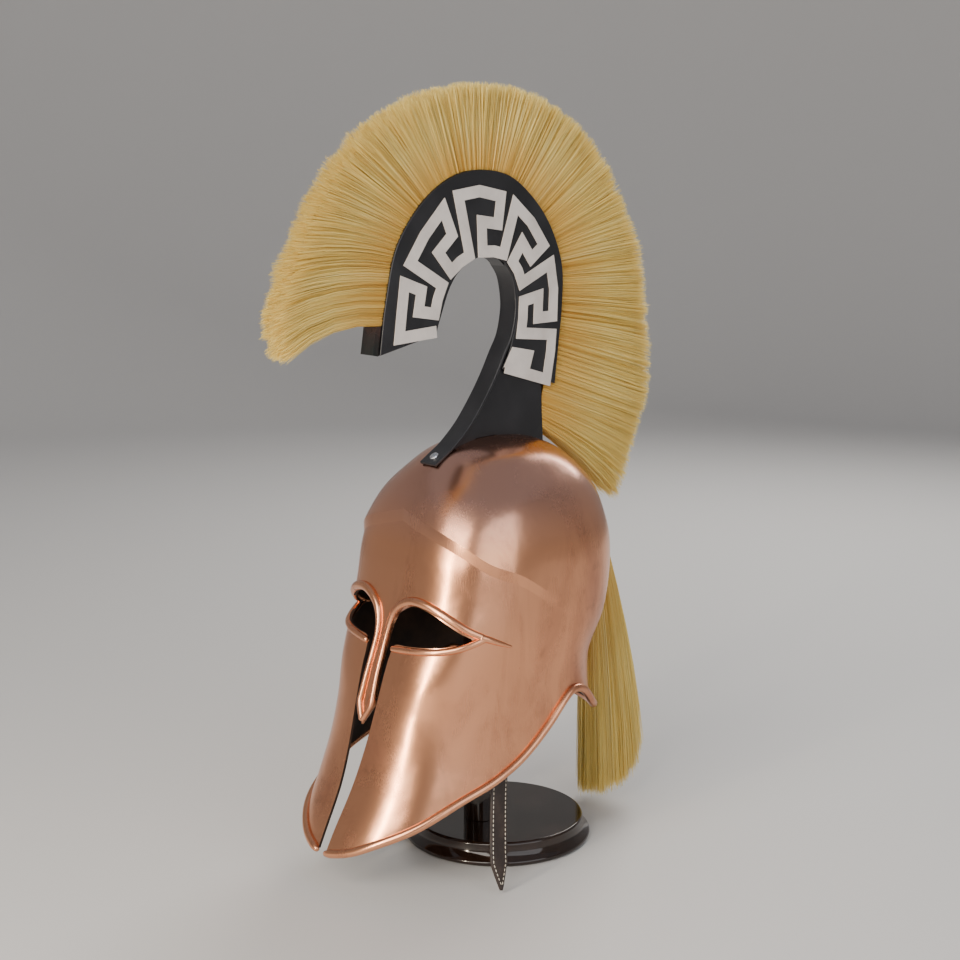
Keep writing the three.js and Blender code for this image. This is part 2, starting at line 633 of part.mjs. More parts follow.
function chinBand() {
  const line = new THREE.CatmullRomCurve3(chinLine.map(({ x, y, z }) => new THREE.Vector3(x, y, z)));
  const length = line.getLength();
  const places = [0, 0.12, 0.24, 0.36, 0.46, 0.56, 0.66, 0.76];
  for (let k = 0; k <= 4; k += 1) places.push(1 - (chinStrap.point / length) * (1 - k / 4));
  return loft(places.map((place) => {
    const [middle, along] = [line.getPointAt(place), line.getTangentAt(place)];
    const thick = new THREE.Vector3(1, 0, 0).addScaledVector(along, -along.x).normalize();
    const wide = thick.clone().cross(along);
    const left = clamp(((1 - place) * length) / chinStrap.point, 0, 1);
    const half = chinStrap.half * max(0.12, left ** 0.6);
    return [[1, 1], [-1, 1], [-1, -1], [1, -1]].map(([w, t]) => middle.clone()
      .addScaledVector(wide, w * half)
      .addScaledVector(thick, (t * chinStrap.thick) / 2));
  }));
}

function chinRivet() {
  const { x, y, z } = chinLine[0];
  const { inside, below } = chinRivetHead;
  return rivetHead(chinRivetHead).rotateY(-PI / 2).translate(x - inside, y, z - below);
}

// ---------- stand ----------

function standBase() {
  const { radius, top, height } = base;
  const profile = [
    [0, 0], [radius - 1.5, 0], [radius, 1.6], [radius, 3.6], [radius - 1.2, 4.8], [top + 2.4, 7.4],
    [top + 1, 11], [top + 0.9, height - 1.5], [top - 0.6, height], [0, height],
  ].map(([r, z]) => new THREE.Vector2(r, z));
  return new THREE.LatheGeometry(profile, 40).rotateX(PI / 2).rotateZ(PI);
}

function upright(radius, y, low, high, sides) {
  return new THREE.CylinderGeometry(radius, radius, high - low, sides)
    .rotateX(PI / 2)
    .translate(0, y, (low + high) / 2);
}

function standCap() {
  const room = skin({ ...hollowGrid, lift: -wall - gap, below: 8 });
  return toGeometry(toSolid(upright(cap.radius, cap.y, cap.bottom, 345, 28)).intersect(room));
}

// ---------- the object ----------

const skull = skin({ ...skinGrid, lift: gap, below: 0 });
const object = new THREE.Group();

const add = (name, geometry, material) => {
  const mesh = new THREE.Mesh(geometry, material);
  mesh.name = name;
  object.add(mesh);
};

add('helmet_shell', helmetShell(), copper());
add('crest_core', crestCore(skull), blackPaint());
add('crest_plate_left', crestPlate(1), blackPaint());
add('crest_plate_right', crestPlate(-1), blackPaint());
add('meander_left', meander(1), whitePaint());
add('meander_right', meander(-1), whitePaint());
add('crest_end_block', endBlock(), blackPaint());
add('crest_strap', crestStrap(skull), blackPaint());
add('crest_rivet', crestRivet(), steel());
add('plume', plume(skull), hair());
add('plume_tail', plumeTail(), hair());
add('tail_ferrule', tailFerrule(skull), blackPaint());
add('chin_strap', chinBand(), leather());
add('chin_strap_rivet', chinRivet(), steel());
add('stand_base', standBase(), lacquer());
add('stand_post', upright(post.radius, post.y, base.height + gap, cap.bottom - gap, 28), lacquer());
add('stand_cap', standCap(), lacquer());

export default object;
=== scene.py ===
import math

import bpy
import bmesh
import numpy as np
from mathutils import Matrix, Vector


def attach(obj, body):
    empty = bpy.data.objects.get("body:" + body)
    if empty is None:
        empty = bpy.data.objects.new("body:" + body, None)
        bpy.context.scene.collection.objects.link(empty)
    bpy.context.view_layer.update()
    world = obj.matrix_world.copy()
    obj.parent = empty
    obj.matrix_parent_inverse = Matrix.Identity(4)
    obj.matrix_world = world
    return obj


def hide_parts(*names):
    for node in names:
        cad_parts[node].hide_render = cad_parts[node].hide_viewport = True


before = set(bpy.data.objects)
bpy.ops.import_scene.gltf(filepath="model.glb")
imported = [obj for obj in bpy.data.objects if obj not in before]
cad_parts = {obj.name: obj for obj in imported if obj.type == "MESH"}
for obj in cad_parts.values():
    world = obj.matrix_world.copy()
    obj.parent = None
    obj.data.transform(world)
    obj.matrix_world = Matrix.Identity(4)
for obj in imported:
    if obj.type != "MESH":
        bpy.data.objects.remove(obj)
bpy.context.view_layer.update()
mm = 0.001


# The camera looks from the wearer's left and a little above the eyes.
cameraSetup = {
    "azimuth": 50.9, "elevation": 10.1, "distance": 1.342, "target": (0, -0.019, 0.304), "lens": 62.2,
}


def makeCamera(setup):
    camera = bpy.data.objects.new("camera", bpy.data.cameras.new("camera"))
    bpy.context.scene.collection.objects.link(camera)
    azimuth, elevation = math.radians(setup["azimuth"]), math.radians(setup["elevation"])
    back = Vector((
        math.sin(azimuth) * math.cos(elevation),
        -math.cos(azimuth) * math.cos(elevation),
        math.sin(elevation),
    ))
    camera.location = Vector(setup["target"]) + back * setup["distance"]
    camera.rotation_euler = (-back).to_track_quat("-Z", "Y").to_euler()
    camera.data.lens = setup["lens"]
    camera.data.sensor_width = 36
    camera.data.clip_start = 0.01
    camera.data.clip_end = 50
    bpy.context.scene.camera = camera


makeCamera(cameraSetup)
print("camera")


# Tables are read with a smooth cubic through their rows.
def table(names, rows):
    return dict(zip(names.split(), np.array(rows, float).T))


def read(rows, key, at, name):
    keys, values = rows[key], rows[name]
    last = len(keys) - 1
    at = np.clip(np.asarray(at, float), keys[0], keys[-1])
    i = np.clip(np.searchsorted(keys, at, side="left") - 1, 0, last - 1)
    before, after = np.maximum(np.arange(last + 1) - 1, 0), np.minimum(np.arange(last + 1) + 1, last)
    slopes = (values[after] - values[before]) / (keys[after] - keys[before])
    span = keys[i + 1] - keys[i]
    f = (at - keys[i]) / span
    a, b = slopes[i] * span, slopes[i + 1] * span
    rise = values[i + 1] - values[i]
    return values[i] + f * (a + f * (3 * rise - 2 * a - b + f * (a + b - 2 * rise)))


def smoothStep(value, low, high):
    f = np.clip((value - low) / (high - low), 0, 1)
    return f * f * (3 - 2 * f)


def alongLine(points, count):
    points = np.asarray(points, float)
    place = np.arange(len(points), dtype=float)
    rows = {"place": place, **{str(k): points[:, k] for k in range(points.shape[1])}}
    fine = np.linspace(0, place[-1], 40 * len(points))
    dense = np.stack([read(rows, "place", fine, str(k)) for k in range(points.shape[1])], -1)
    run = np.concatenate([[0], np.cumsum(np.linalg.norm(np.diff(dense[:, :3], axis=0), axis=1))])
    at = np.linspace(0, run[-1], count)
    return np.stack([np.interp(at, run, dense[:, k]) for k in range(dense.shape[1])], -1)


def makeMesh(name, points, faces, material, smooth=True):
    mesh = bpy.data.meshes.new(name)
    mesh.from_pydata((np.asarray(points) * mm).tolist(), [], [list(map(int, face)) for face in faces])
    mesh.validate()
    mesh.materials.append(material)
    mesh.shade_smooth() if smooth else mesh.shade_flat()
    piece = bpy.data.objects.new(name, mesh)
    bpy.context.scene.collection.objects.link(piece)
    return piece


def placePiece(piece, slotName, *nodes):
    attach(piece, "root")
    if nodes:
        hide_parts(*nodes)


def gridFaces(rows, columns, closed=False):
    r, c = np.meshgrid(np.arange(rows - 1), np.arange(columns if closed else columns - 1), indexing="ij")
    r, c = r.ravel(), c.ravel()
    nextC = (c + 1) % columns
    here, above = r * columns, (r + 1) * columns
    return np.stack([here + c, here + nextC, above + nextC, above + c], -1)


# Materials are small node trees. addNode links a socket or sets a value for each named input.
def addNode(tree, kind, settings=None, **inputs):
    node = tree.nodes.new(kind)
    for key, value in (settings or {}).items():
        setattr(node, key, value)
    for key, value in inputs.items():
        byPlace = key[0] == "i" and key[1:].isdigit()
        socket = node.inputs[int(key[1:]) if byPlace else key.replace("_", " ")]
        if isinstance(value, bpy.types.NodeSocket):
            tree.links.new(value, socket)
        else:
            socket.default_value = value
    return node


def newMaterial(name):
    material = bpy.data.materials.new(name)
    material.use_nodes = True
    material.node_tree.nodes.clear()
    return material, material.node_tree


def stretched(tree, scale):
    coordinates = addNode(tree, "ShaderNodeTexCoord").outputs["Object"]
    return addNode(tree, "ShaderNodeMapping", i0=coordinates, Scale=scale).outputs[0]


def noise(tree, vector, scale, detail=3.0, rough=0.5, distortion=0.0):
    node = addNode(tree, "ShaderNodeTexNoise", Vector=vector, Scale=scale, Detail=detail,
                   Roughness=rough, Distortion=distortion)
    return node.outputs["Fac"]


def ramp(tree, factor, low, high, start=0.0, end=1.0):
    return addNode(tree, "ShaderNodeMapRange", {"clamp": True},
                   i0=factor, i1=low, i2=high, i3=start, i4=end).outputs[0]


def mixColors(tree, factor, first, second):
    node = addNode(tree, "ShaderNodeMix", {"data_type": "RGBA"}, i0=factor, i6=first, i7=second)
    return node.outputs[2]


def maths(tree, operation, *values):
    return addNode(tree, "ShaderNodeMath", {"operation": operation},
                   **{f"i{k}": value for k, value in enumerate(values)}).outputs[0]


def bump(tree, height, strength, distance, normal=None):
    inputs = {"Height": height, "Strength": strength, "Distance": distance}
    if normal:
        inputs["Normal"] = normal
    return addNode(tree, "ShaderNodeBump", **inputs).outputs[0]


def finishMaterial(tree, surface):
    addNode(tree, "ShaderNodeOutputMaterial", Surface=surface)


# The "dome" colour is a painted reflection of a purplish sky on the top of the dome.
copperLook = {
    "bright": (0.86, 0.40, 0.22, 1), "deep": (0.56, 0.24, 0.14, 1), "brown": (0.24, 0.11, 0.06, 1),
    "dome": (0.60, 0.37, 0.33, 1), "roughness": 0.17,
}


def copperMaterial(look):
    material, tree = newMaterial("copper")
    place = addNode(tree, "ShaderNodeTexCoord").outputs["Object"]
    brush = noise(tree, stretched(tree, (1500, 1500, 26)), 1.0, 2.0, 0.6)
    wide = noise(tree, stretched(tree, (26, 26, 9)), 1.0, 4.0, 0.6, 0.6)
    fine = noise(tree, place, 95.0, 5.0, 0.65)
    axes = addNode(tree, "ShaderNodeSeparateXYZ", i0=place)
    # Painted shade: towards the lower back the copper is mixed to the deeper and browner tones. The wide
    # noise adds real stains to the same mask.
    back = ramp(tree, axes.outputs[1], -0.075, 0.03)
    low = ramp(tree, axes.outputs[2], 0.275, 0.20)
    shade = maths(tree, "MULTIPLY", back, low)
    stainAndShade = ramp(tree, maths(tree, "ADD", wide, maths(tree, "MULTIPLY", shade, 0.22)), 0.46, 0.82)
    speckle = ramp(tree, fine, 0.52, 0.78)
    tone = mixColors(tree, stainAndShade, look["bright"], look["deep"])
    spots = maths(tree, "MULTIPLY", speckle, maths(tree, "MULTIPLY", stainAndShade, 0.7))
    tone = mixColors(tree, spots, tone, look["brown"])
    # Painted reflection: towards the top the copper is mixed with the "dome" colour.
    paintedSkyReflection = maths(tree, "MULTIPLY", ramp(tree, axes.outputs[2], 0.262, 0.300), 0.55)
    tone = mixColors(tree, paintedSkyReflection, tone, look["dome"])
    scratchNoise = addNode(tree, "ShaderNodeTexVoronoi", {"feature": "DISTANCE_TO_EDGE"},
                           Vector=addNode(tree, "ShaderNodeMapping", i0=place, Rotation=(0.3, 0.5, 0.4),
                                          Scale=(60, 420, 36)).outputs[0], Scale=1.0)
    scratch = ramp(tree, scratchNoise.outputs[0], 0.012, 0.0)
    patchy = ramp(tree, noise(tree, place, 14.0), 0.5, 0.62)
    scratch = maths(tree, "MULTIPLY", scratch, patchy)
    rough = maths(tree, "ADD", look["roughness"], maths(tree, "MULTIPLY", brush, 0.12))
    rough = maths(tree, "ADD", rough, maths(tree, "MULTIPLY", stainAndShade, 0.13))
    dent = noise(tree, place, 34.0, 2.0)
    normal = bump(tree, dent, 0.35, 0.0012)
    normal = bump(tree, brush, 0.035, 0.0002, normal)
    normal = bump(tree, scratch, -0.35, 0.0002, normal)
    surface = addNode(tree, "ShaderNodeBsdfPrincipled", Base_Color=tone, Metallic=1.0,
                      Roughness=rough, Normal=normal)
    finishMaterial(tree, surface.outputs[0])
    return material


paintLook = {
    "black": {"color": (0.009, 0.009, 0.011, 1), "dust": (0.015, 0.015, 0.018, 1), "roughness": 0.30},
    "white": {"color": (0.66, 0.61, 0.57, 1), "dust": (0.50, 0.45, 0.42, 1), "roughness": 0.42},
    "lacquer": {"color": (0.012, 0.006, 0.004, 1), "dust": (0.03, 0.015, 0.01, 1), "roughness": 0.07},
    "resin": {"color": (0.008, 0.010, 0.009, 1), "dust": (0.05, 0.02, 0.014, 1), "roughness": 0.22},
}


def paintMaterial(name, look, grain=900.0, uneven=0.3):
    material, tree = newMaterial(name)
    place = addNode(tree, "ShaderNodeTexCoord").outputs["Object"]
    cloud = ramp(tree, noise(tree, place, 30.0, 5.0, 0.6), 0.42, 0.75)
    grit = noise(tree, place, grain, 2.0)
    tone = mixColors(tree, cloud, look["color"], look["dust"])
    rough = maths(tree, "ADD", look["roughness"], maths(tree, "MULTIPLY", cloud, 0.12))
    normal = bump(tree, noise(tree, place, 60.0), uneven, 0.0006)
    normal = bump(tree, grit, 0.08, 0.0003, normal)
    surface = addNode(tree, "ShaderNodeBsdfPrincipled", Base_Color=tone, Roughness=rough, Normal=normal)
    surface.inputs["Coat Weight"].default_value = 0.15
    finishMaterial(tree, surface.outputs[0])
    return material


def steelMaterial():
    material, tree = newMaterial("steel")
    grain = noise(tree, stretched(tree, (900, 900, 900)), 1.0)
    rough = maths(tree, "ADD", 0.2, maths(tree, "MULTIPLY", grain, 0.15))
    surface = addNode(tree, "ShaderNodeBsdfPrincipled", Base_Color=(0.72, 0.73, 0.76, 1), Metallic=1.0,
                      Roughness=rough, Normal=bump(tree, grain, 0.1, 0.0002))
    finishMaterial(tree, surface.outputs[0])
    return material


def leatherMaterial():
    material, tree = newMaterial("leather")
    place = addNode(tree, "ShaderNodeTexCoord").outputs["Object"]
    cells = addNode(tree, "ShaderNodeTexVoronoi", Vector=place, Scale=900.0).outputs[0]
    wear = ramp(tree, noise(tree, place, 70.0, 5.0, 0.6), 0.45, 0.72)
    tone = mixColors(tree, wear, (0.022, 0.013, 0.010, 1), (0.055, 0.034, 0.026, 1))
    rough = maths(tree, "ADD", 0.42, maths(tree, "MULTIPLY", wear, 0.2))
    normal = bump(tree, cells, 0.35, 0.0003)
    surface = addNode(tree, "ShaderNodeBsdfPrincipled", Base_Color=tone, Roughness=rough, Normal=normal)
    finishMaterial(tree, surface.outputs[0])
    return material


# The "root" and "tip" colours paint shade near the roots and light at the tips.
hairLook = {
    "root": (0.86, 0.58, 0.14, 1), "tip": (0.93, 0.77, 0.28, 1), "dark": (0.72, 0.48, 0.11, 1),
    "light": (1.0, 0.91, 0.48, 1),
}


def hairMaterial(name, look):
    material, tree = newMaterial(name)
    along = addNode(tree, "ShaderNodeAttribute", {"attribute_name": "along"}).outputs["Fac"]
    tone = addNode(tree, "ShaderNodeAttribute", {"attribute_name": "tone"}).outputs["Fac"]
    # Painted shade and light: each strand is darker at its root, in the shade inside the plume, and lighter
    # towards its lit tip.
    base = mixColors(tree, ramp(tree, along, 0.0, 0.55), look["root"], look["tip"])
    base = mixColors(tree, ramp(tree, tone, 0.45, 0.0), base, look["dark"])
    base = mixColors(tree, ramp(tree, tone, 0.62, 1.0, 0.0, 0.8), base, look["light"])
    glossy = addNode(tree, "ShaderNodeBsdfPrincipled", Base_Color=base, Roughness=0.42)
    glossy.inputs["Specular IOR Level"].default_value = 0.35
    through = addNode(tree, "ShaderNodeBsdfTranslucent", Color=base)
    both = addNode(tree, "ShaderNodeMixShader", i0=0.38, i1=glossy.outputs[0], i2=through.outputs[0])
    finishMaterial(tree, both.outputs[0])
    return material


# Painted shade: the inside of the sheet is near-black copper, standing for the shade inside the helmet.
def paintedShadeInside():
    material, tree = newMaterial("copper inside shade")
    place = addNode(tree, "ShaderNodeTexCoord").outputs["Object"]
    cloud = ramp(tree, noise(tree, place, 45.0, 5.0, 0.6), 0.4, 0.7)
    tone = mixColors(tree, cloud, (0.020, 0.011, 0.008, 1), (0.055, 0.028, 0.017, 1))
    surface = addNode(tree, "ShaderNodeBsdfPrincipled", Base_Color=tone, Metallic=0.4, Roughness=0.62,
                      Normal=bump(tree, noise(tree, place, 160.0), 0.3, 0.0004))
    finishMaterial(tree, surface.outputs[0])
    return material


copper = copperMaterial(copperLook)
insideShadeCopper = paintedShadeInside()
blackPaint = paintMaterial("black paint", paintLook["black"])
whitePaint = paintMaterial("white paint", paintLook["white"], 1400.0, 0.5)
lacquer = paintMaterial("lacquer", paintLook["lacquer"], 300.0, 0.05)
resin = paintMaterial("resin", paintLook["resin"], 700.0, 0.8)
steel = steelMaterial()
leather = leatherMaterial()
hair = hairMaterial("horsehair", hairLook)
print("materials")


# The helmet's sheet: level sections from the top down.
axisY = -10
sections = table("step z side front back square", [
    (0, 341.5, 0, 0, 0, 2.0), (1, 338.5, 23, 25, 30, 2.0), (2, 330, 44, 48, 55.5, 2.1),
    (3, 316, 60, 65, 75, 2.3), (4, 298, 74.5, 78.5, 89, 2.7), (5, 277, 83.5, 88.5, 97, 2.9),
    (6, 254, 87, 96, 103, 3.0), (7, 225, 87, 101, 103, 3.1), (8, 195, 86, 107, 95.5, 3.4),
    (9, 165, 82.5, 117, 78, 3.5), (10, 135, 82.5, 125.5, 77, 3.1), (11, 105, 83.5, 134, 77, 3.0),
    (12, 75, 86, 145, 77, 3.0), (13, 45, 88, 160, 77, 2.8), (14, 15, 89.5, 174.5, 77, 2.0),
])
ridge = table("around z over", [
    (0, 289, 2.8), (24, 279.5, 2.8), (38, 270, 2.7), (52, 255, 2.4), (67, 244, 1.7), (92, 218, 0.4),
    (112, 200, 0), (180, 190, 0),
])
lowerEdge = table("around z", [
    (0, 24), (10, 31.5), (18, 41.5), (27, 52.5), (40, 70), (55, 83), (70, 97.5), (86, 117), (98, 134),
    (105, 139.5), (113, 136.5), (124, 122), (136, 114), (152, 112), (180, 111.5),
])
cheekEdge = table("z x", [
    (-5, 5.2), (30, 5.4), (48, 6), (72, 7.6), (95, 9.6), (122, 12), (150, 14), (178, 15.4),
])
noseEdge = table("z x", [(123.5, 0.05), (140, 10.3), (147, 9.8), (162, 8.8), (184, 8.2)])
eyeOutline = [
    (15.4, 178), (18, 187.5), (32, 189.3), (46, 190.6), (60, 192.2), (70, 194.6), (76, 198.2), (70, 203.6),
    (62, 209.8), (53, 215), (43, 218.6), (32, 219.6), (22, 216.5), (15, 211.2), (11, 204.5), (9, 196),
    (8.2, 184),
]
sheet = {"thick": 2.2, "bevel": 8.5, "swell": 26, "flareOut": 5.5, "flareHeight": 26, "backSquare": 2.2}


def halfTurn(around):
    return np.abs((around + 180) % 360 - 180)


def edgeHeight(around):
    return read(lowerEdge, "around", halfTurn(around), "z")


fineSteps = np.linspace(0, 14, 1401)
fineHeights = read(sections, "step", fineSteps, "z")


def stepAt(z):
    return np.interp(-np.asarray(z, float), -fineHeights, fineSteps)


def plainPoint(step, around):
    names = ("side", "front", "back", "square", "z")
    side, front, back, square, z = (read(sections, "step", step, name) for name in names)
    across, ahead = np.sin(np.radians(around)), np.cos(np.radians(around))
    square = sheet["backSquare"] + (square - sheet["backSquare"]) * smoothStep(ahead, -0.5, 0.5)
    side, depth = np.maximum(side, 1e-5), np.maximum(np.where(ahead > 0, front, back), 1e-5)
    spread = ((np.abs(across) / side) ** square + (np.abs(ahead) / depth) ** square) ** (-1 / square)
    return np.stack([spread * across, axisY - spread * ahead, z], -1)


def outward(step, around):
    step = np.maximum(step, 0.03)
    down = plainPoint(step + 0.01, around) - plainPoint(step - 0.01, around)
    along = plainPoint(step, around + 0.2) - plainPoint(step, around - 0.2)
    normal = np.cross(down, along)
    return normal / np.linalg.norm(normal, axis=-1, keepdims=True)


def relief(z, around):
    turn = halfTurn(around)
    line, over = read(ridge, "around", turn, "z"), read(ridge, "around", turn, "over")
    below = line - z
    rising = np.exp(np.minimum(below, 0) / sheet["swell"])
    swell = np.where(below < 0, rising, np.maximum(0, 1 - below / sheet["bevel"]))
    near = np.clip(1 - (z - edgeHeight(around)) / sheet["flareHeight"], 0, 1.3)
    return over * swell + sheet["flareOut"] * near ** 2 * smoothStep(turn, 100, 124)


def sheetPoint(step, around, lift=0.0):
    point = plainPoint(step, around)
    return point + outward(step, around) * (lift + relief(point[..., 2], around))[..., None]


def aroundAt(x, z):
    step = stepAt(z)
    low, high = np.zeros(np.shape(x)), np.full(np.shape(x), 90.0)
    for _ in range(30):
        middle = (low + high) / 2
        under = plainPoint(step, middle)[..., 0] < np.abs(x)
        low, high = np.where(under, middle, low), np.where(under, high, middle)
    return (low + high) / 2 * np.where(np.asarray(x) < 0, -1, 1)


def facePoint(x, z, lift=0.0):
    x, z = np.asarray(x, float), np.asarray(z, float)
    return sheetPoint(stepAt(z), aroundAt(x, z), lift)


def bodyLines(sheetRows):
    index = np.linspace(0, 1, sheetRows)
    return np.interp(index, [0, 0.15, 0.56, 1], [0, 0.19, 0.44, 1])


sheetGrid = {
    "dome": 44, "bevel": 4, "body": 128, "nose": 7, "gap": 4, "face": 54, "side": 50, "faceEnd": 52.0,
}


def sheetColumns(z, setup):
    cheek = aroundAt(read(cheekEdge, "z", z, "x"), np.minimum(z, 178.0))
    nose = aroundAt(read(noseEdge, "z", z, "x"), np.clip(z, 123.5, 184.0))
    counts = [setup["nose"], setup["gap"], setup["face"], setup["side"]]
    stops = np.stack([0 * z, nose, cheek, 0 * z + setup["faceEnd"], 0 * z + 180], -1)
    parts = []
    for k, count in enumerate(counts):
        f = np.arange(count) / count
        parts.append(stops[..., k:k + 1] + (stops[..., k + 1:k + 2] - stops[..., k:k + 1]) * f)
    half = np.concatenate(parts + [stops[..., 4:5]], -1)
    return np.concatenate([half, 360 - half[..., -2:0:-1]], -1)


def insideOutline(x, z, outline):
    inside = np.zeros(np.shape(x), bool)
    for (x1, z1), (x2, z2) in zip(outline, np.roll(outline, -1, axis=0)):
        crosses = (z1 > z) != (z2 > z)
        with np.errstate(divide="ignore", invalid="ignore"):
            at = (x2 - x1) * (z - z1) / (z2 - z1) + x1
        inside ^= crosses & (x < at)
    return inside


def openingOutline():
    low, high = read(cheekEdge, "z", np.linspace(-5, 170, 40), "x"), np.linspace(-5, 170, 40)
    cheek = np.stack([low, high], -1)
    eye = alongLine([(x, z, 0) for x, z in [(15.0, 172)] + eyeOutline], 140)[1:, :2]
    noseZ = np.linspace(182, 140, 20)
    nose = np.stack([read(noseEdge, "z", noseZ, "x"), noseZ], -1)
    tip = np.array([[5.2, 131.7], [0, 123.5], [0, -5]])
    return np.concatenate([cheek, eye, nose, tip])


def crossingFraction(a, b, outline):
    best = None
    for p, q in zip(outline, np.roll(outline, -1, axis=0)):
        d, e = b - a, q - p
        det = d[0] * e[1] - d[1] * e[0]
        if abs(det) < 1e-12:
            continue
        t = ((p[0] - a[0]) * e[1] - (p[1] - a[1]) * e[0]) / det
        s = ((p[0] - a[0]) * d[1] - (p[1] - a[1]) * d[0]) / det
        if -1e-9 <= t <= 1 + 1e-9 and -1e-9 <= s <= 1 + 1e-9 and (best is None or t < best):
            best = t
    return best


# Rows and columns of the sheet: how far down each point is, and how far around.
def sheetParameters(setup):
    straight = sheetColumns(np.array([200.0]), setup)[0]
    count = len(straight)
    ridgeZ = read(ridge, "around", halfTurn(straight), "z")
    foot = edgeHeight(straight)
    step, around = [], []
    for f in np.linspace(0.004, 1, setup["dome"]):
        step.append(stepAt(ridgeZ) * f)
        around.append(straight)
    bevelZ = [ridgeZ - sheet["bevel"] * f for f in np.linspace(0, 1, setup["bevel"] + 1)[1:]]
    bodyZ = [(ridgeZ - sheet["bevel"]) * (1 - f) + foot * f for f in bodyLines(setup["body"])[1:]]
    for z in bevelZ + bodyZ:
        step.append(stepAt(z))
        around.append(sheetColumns(z, setup)[np.arange(count), np.arange(count)])
    return np.array(step), np.array(around)


# Draws the points beside the face opening onto its edge, and says which points lie inside it.
def trimToOpening(points, plain, edgeLine):
    rows, count = plain.shape[:2]
    flat = np.stack([np.abs(plain[..., 0]), plain[..., 2]], -1)
    ahead = plain[..., 1] < -60
    gone = ahead & insideOutline(flat[..., 0], flat[..., 1], edgeLine)
    moved = np.zeros(gone.shape, bool)
    target = flat.copy()
    for r in range(rows):
        for c in np.flatnonzero(ahead[r]):
            for near in ((r + 1, c), (r, (c + 1) % count)):
                if near[0] >= rows or gone[r, c] == gone[near]:
                    continue
                t = crossingFraction(flat[r, c], flat[near], edgeLine)
                spot = (r, c) if t is not None and t < 0.5 else near
                if t is None or moved[spot]:
                    continue
                moved[spot] = True
                target[spot] = flat[r, c] + (flat[near] - flat[r, c]) * t
    side = np.where(plain[..., 0] < 0, -1, 1)
    points[moved] = facePoint(target[moved][:, 0] * side[moved], target[moved][:, 1])
    return gone & ~moved


def markSharp(piece, angle, chosen=None):
    mesh = piece.data
    mesh.set_sharp_from_angle(angle=math.radians(angle))
    if chosen is None:
        return
    ends = np.zeros(len(mesh.edges) * 2, int)
    mesh.edges.foreach_get("vertices", ends)
    ends = ends.reshape(-1, 2)
    sharp = np.zeros(len(mesh.edges), bool)
    mesh.attributes["sharp_edge"].data.foreach_get("value", sharp)
    sharp |= chosen[ends[:, 0]] & chosen[ends[:, 1]]
    mesh.attributes["sharp_edge"].data.foreach_set("value", sharp)


def helmetSheet(setup):
    step, around = sheetParameters(setup)
    rows, count = step.shape
    points = sheetPoint(step, around)
    gone = trimToOpening(points, plainPoint(step, around), openingOutline()).ravel()
    inner = points - outward(step, around) * sheet["thick"]
    quads = gridFaces(rows, count, True)
    lost = gone[quads].sum(1)
    kept = quads[lost == 0].tolist() + [[v for v in q if not gone[v]] for q in quads[lost == 1].tolist()]
    size = rows * count
    faces = [face[::-1] for face in kept] + [[v + size for v in face] for face in kept]
    used = set((a, b) for face in kept for a, b in zip(face, face[1:] + face[:1]))
    faces += [[a, b, b + size, a + size] for a, b in used if (b, a) not in used and a >= count]
    top = 2 * size
    for c in range(count):
        n = (c + 1) % count
        faces += [[top, c, n], [top + 1, n + size, c + size]]
    crowns = [[0, axisY, 341.9], [0, axisY, 339.7]]  # outside and inside
    everything = np.concatenate([points.reshape(-1, 3), inner.reshape(-1, 3), crowns])
    piece = makeMesh("helmetSheet", everything, faces, copper)
    row = np.arange(len(everything)) // count
    crisp = np.zeros(len(everything), bool)
    for line in (setup["dome"] - 1, setup["dome"] - 1 + setup["bevel"]):
        crisp |= (row == line) & (np.resize(halfTurn(around[line]), len(everything)) < 84)
    markSharp(piece, 50, crisp)
    return piece


# A round rod along a line, with its own half thickness at each point.
def rod(points, halves, spacing, sides, squash=1.0):
    points = np.asarray(points, float)
    length = np.linalg.norm(np.diff(points, axis=0), axis=1).sum()
    count = max(3, int(length / spacing))
    line = alongLine(np.column_stack([points, halves]), count)
    centre, half = line[:, :3], line[:, 3]
    tangent = np.gradient(centre, axis=0)
    tangent /= np.linalg.norm(tangent, axis=1, keepdims=True)
    normal = np.cross(tangent[0], [0.3, 0.2, 1.0])
    turns = 2 * np.pi * np.arange(sides) / sides
    rings = []
    for k in range(count):
        normal = normal - tangent[k] * (normal @ tangent[k])
        normal /= np.linalg.norm(normal)
        other = np.cross(tangent[k], normal)
        around = np.outer(np.cos(turns), normal) + squash * np.outer(np.sin(turns), other)
        rings.append(centre[k] + half[k] * around)
    for end, k, sign in ((rings[0], 0, -1), (rings[-1], -1, 1)):
        cap = [centre[k] + (end - centre[k]) * s + sign * tangent[k] * half[k] * d
               for s, d in ((0.75, 0.4), (0.35, 0.6))]
        rings = cap[::-1] + rings if sign < 0 else rings + cap
    everything = np.concatenate(rings)
    faces = gridFaces(len(rings), sides, True)[:, ::-1].tolist()
    last = len(everything) - sides
    faces += [list(range(sides)), list(range(last, last + sides))[::-1]]
    return everything, faces


def joinParts(parts):
    points, faces, start = [], [], 0
    for p, f in parts:
        points.append(p)
        faces += [[v + start for v in face] for face in f]
        start += len(p)
    return np.concatenate(points), faces


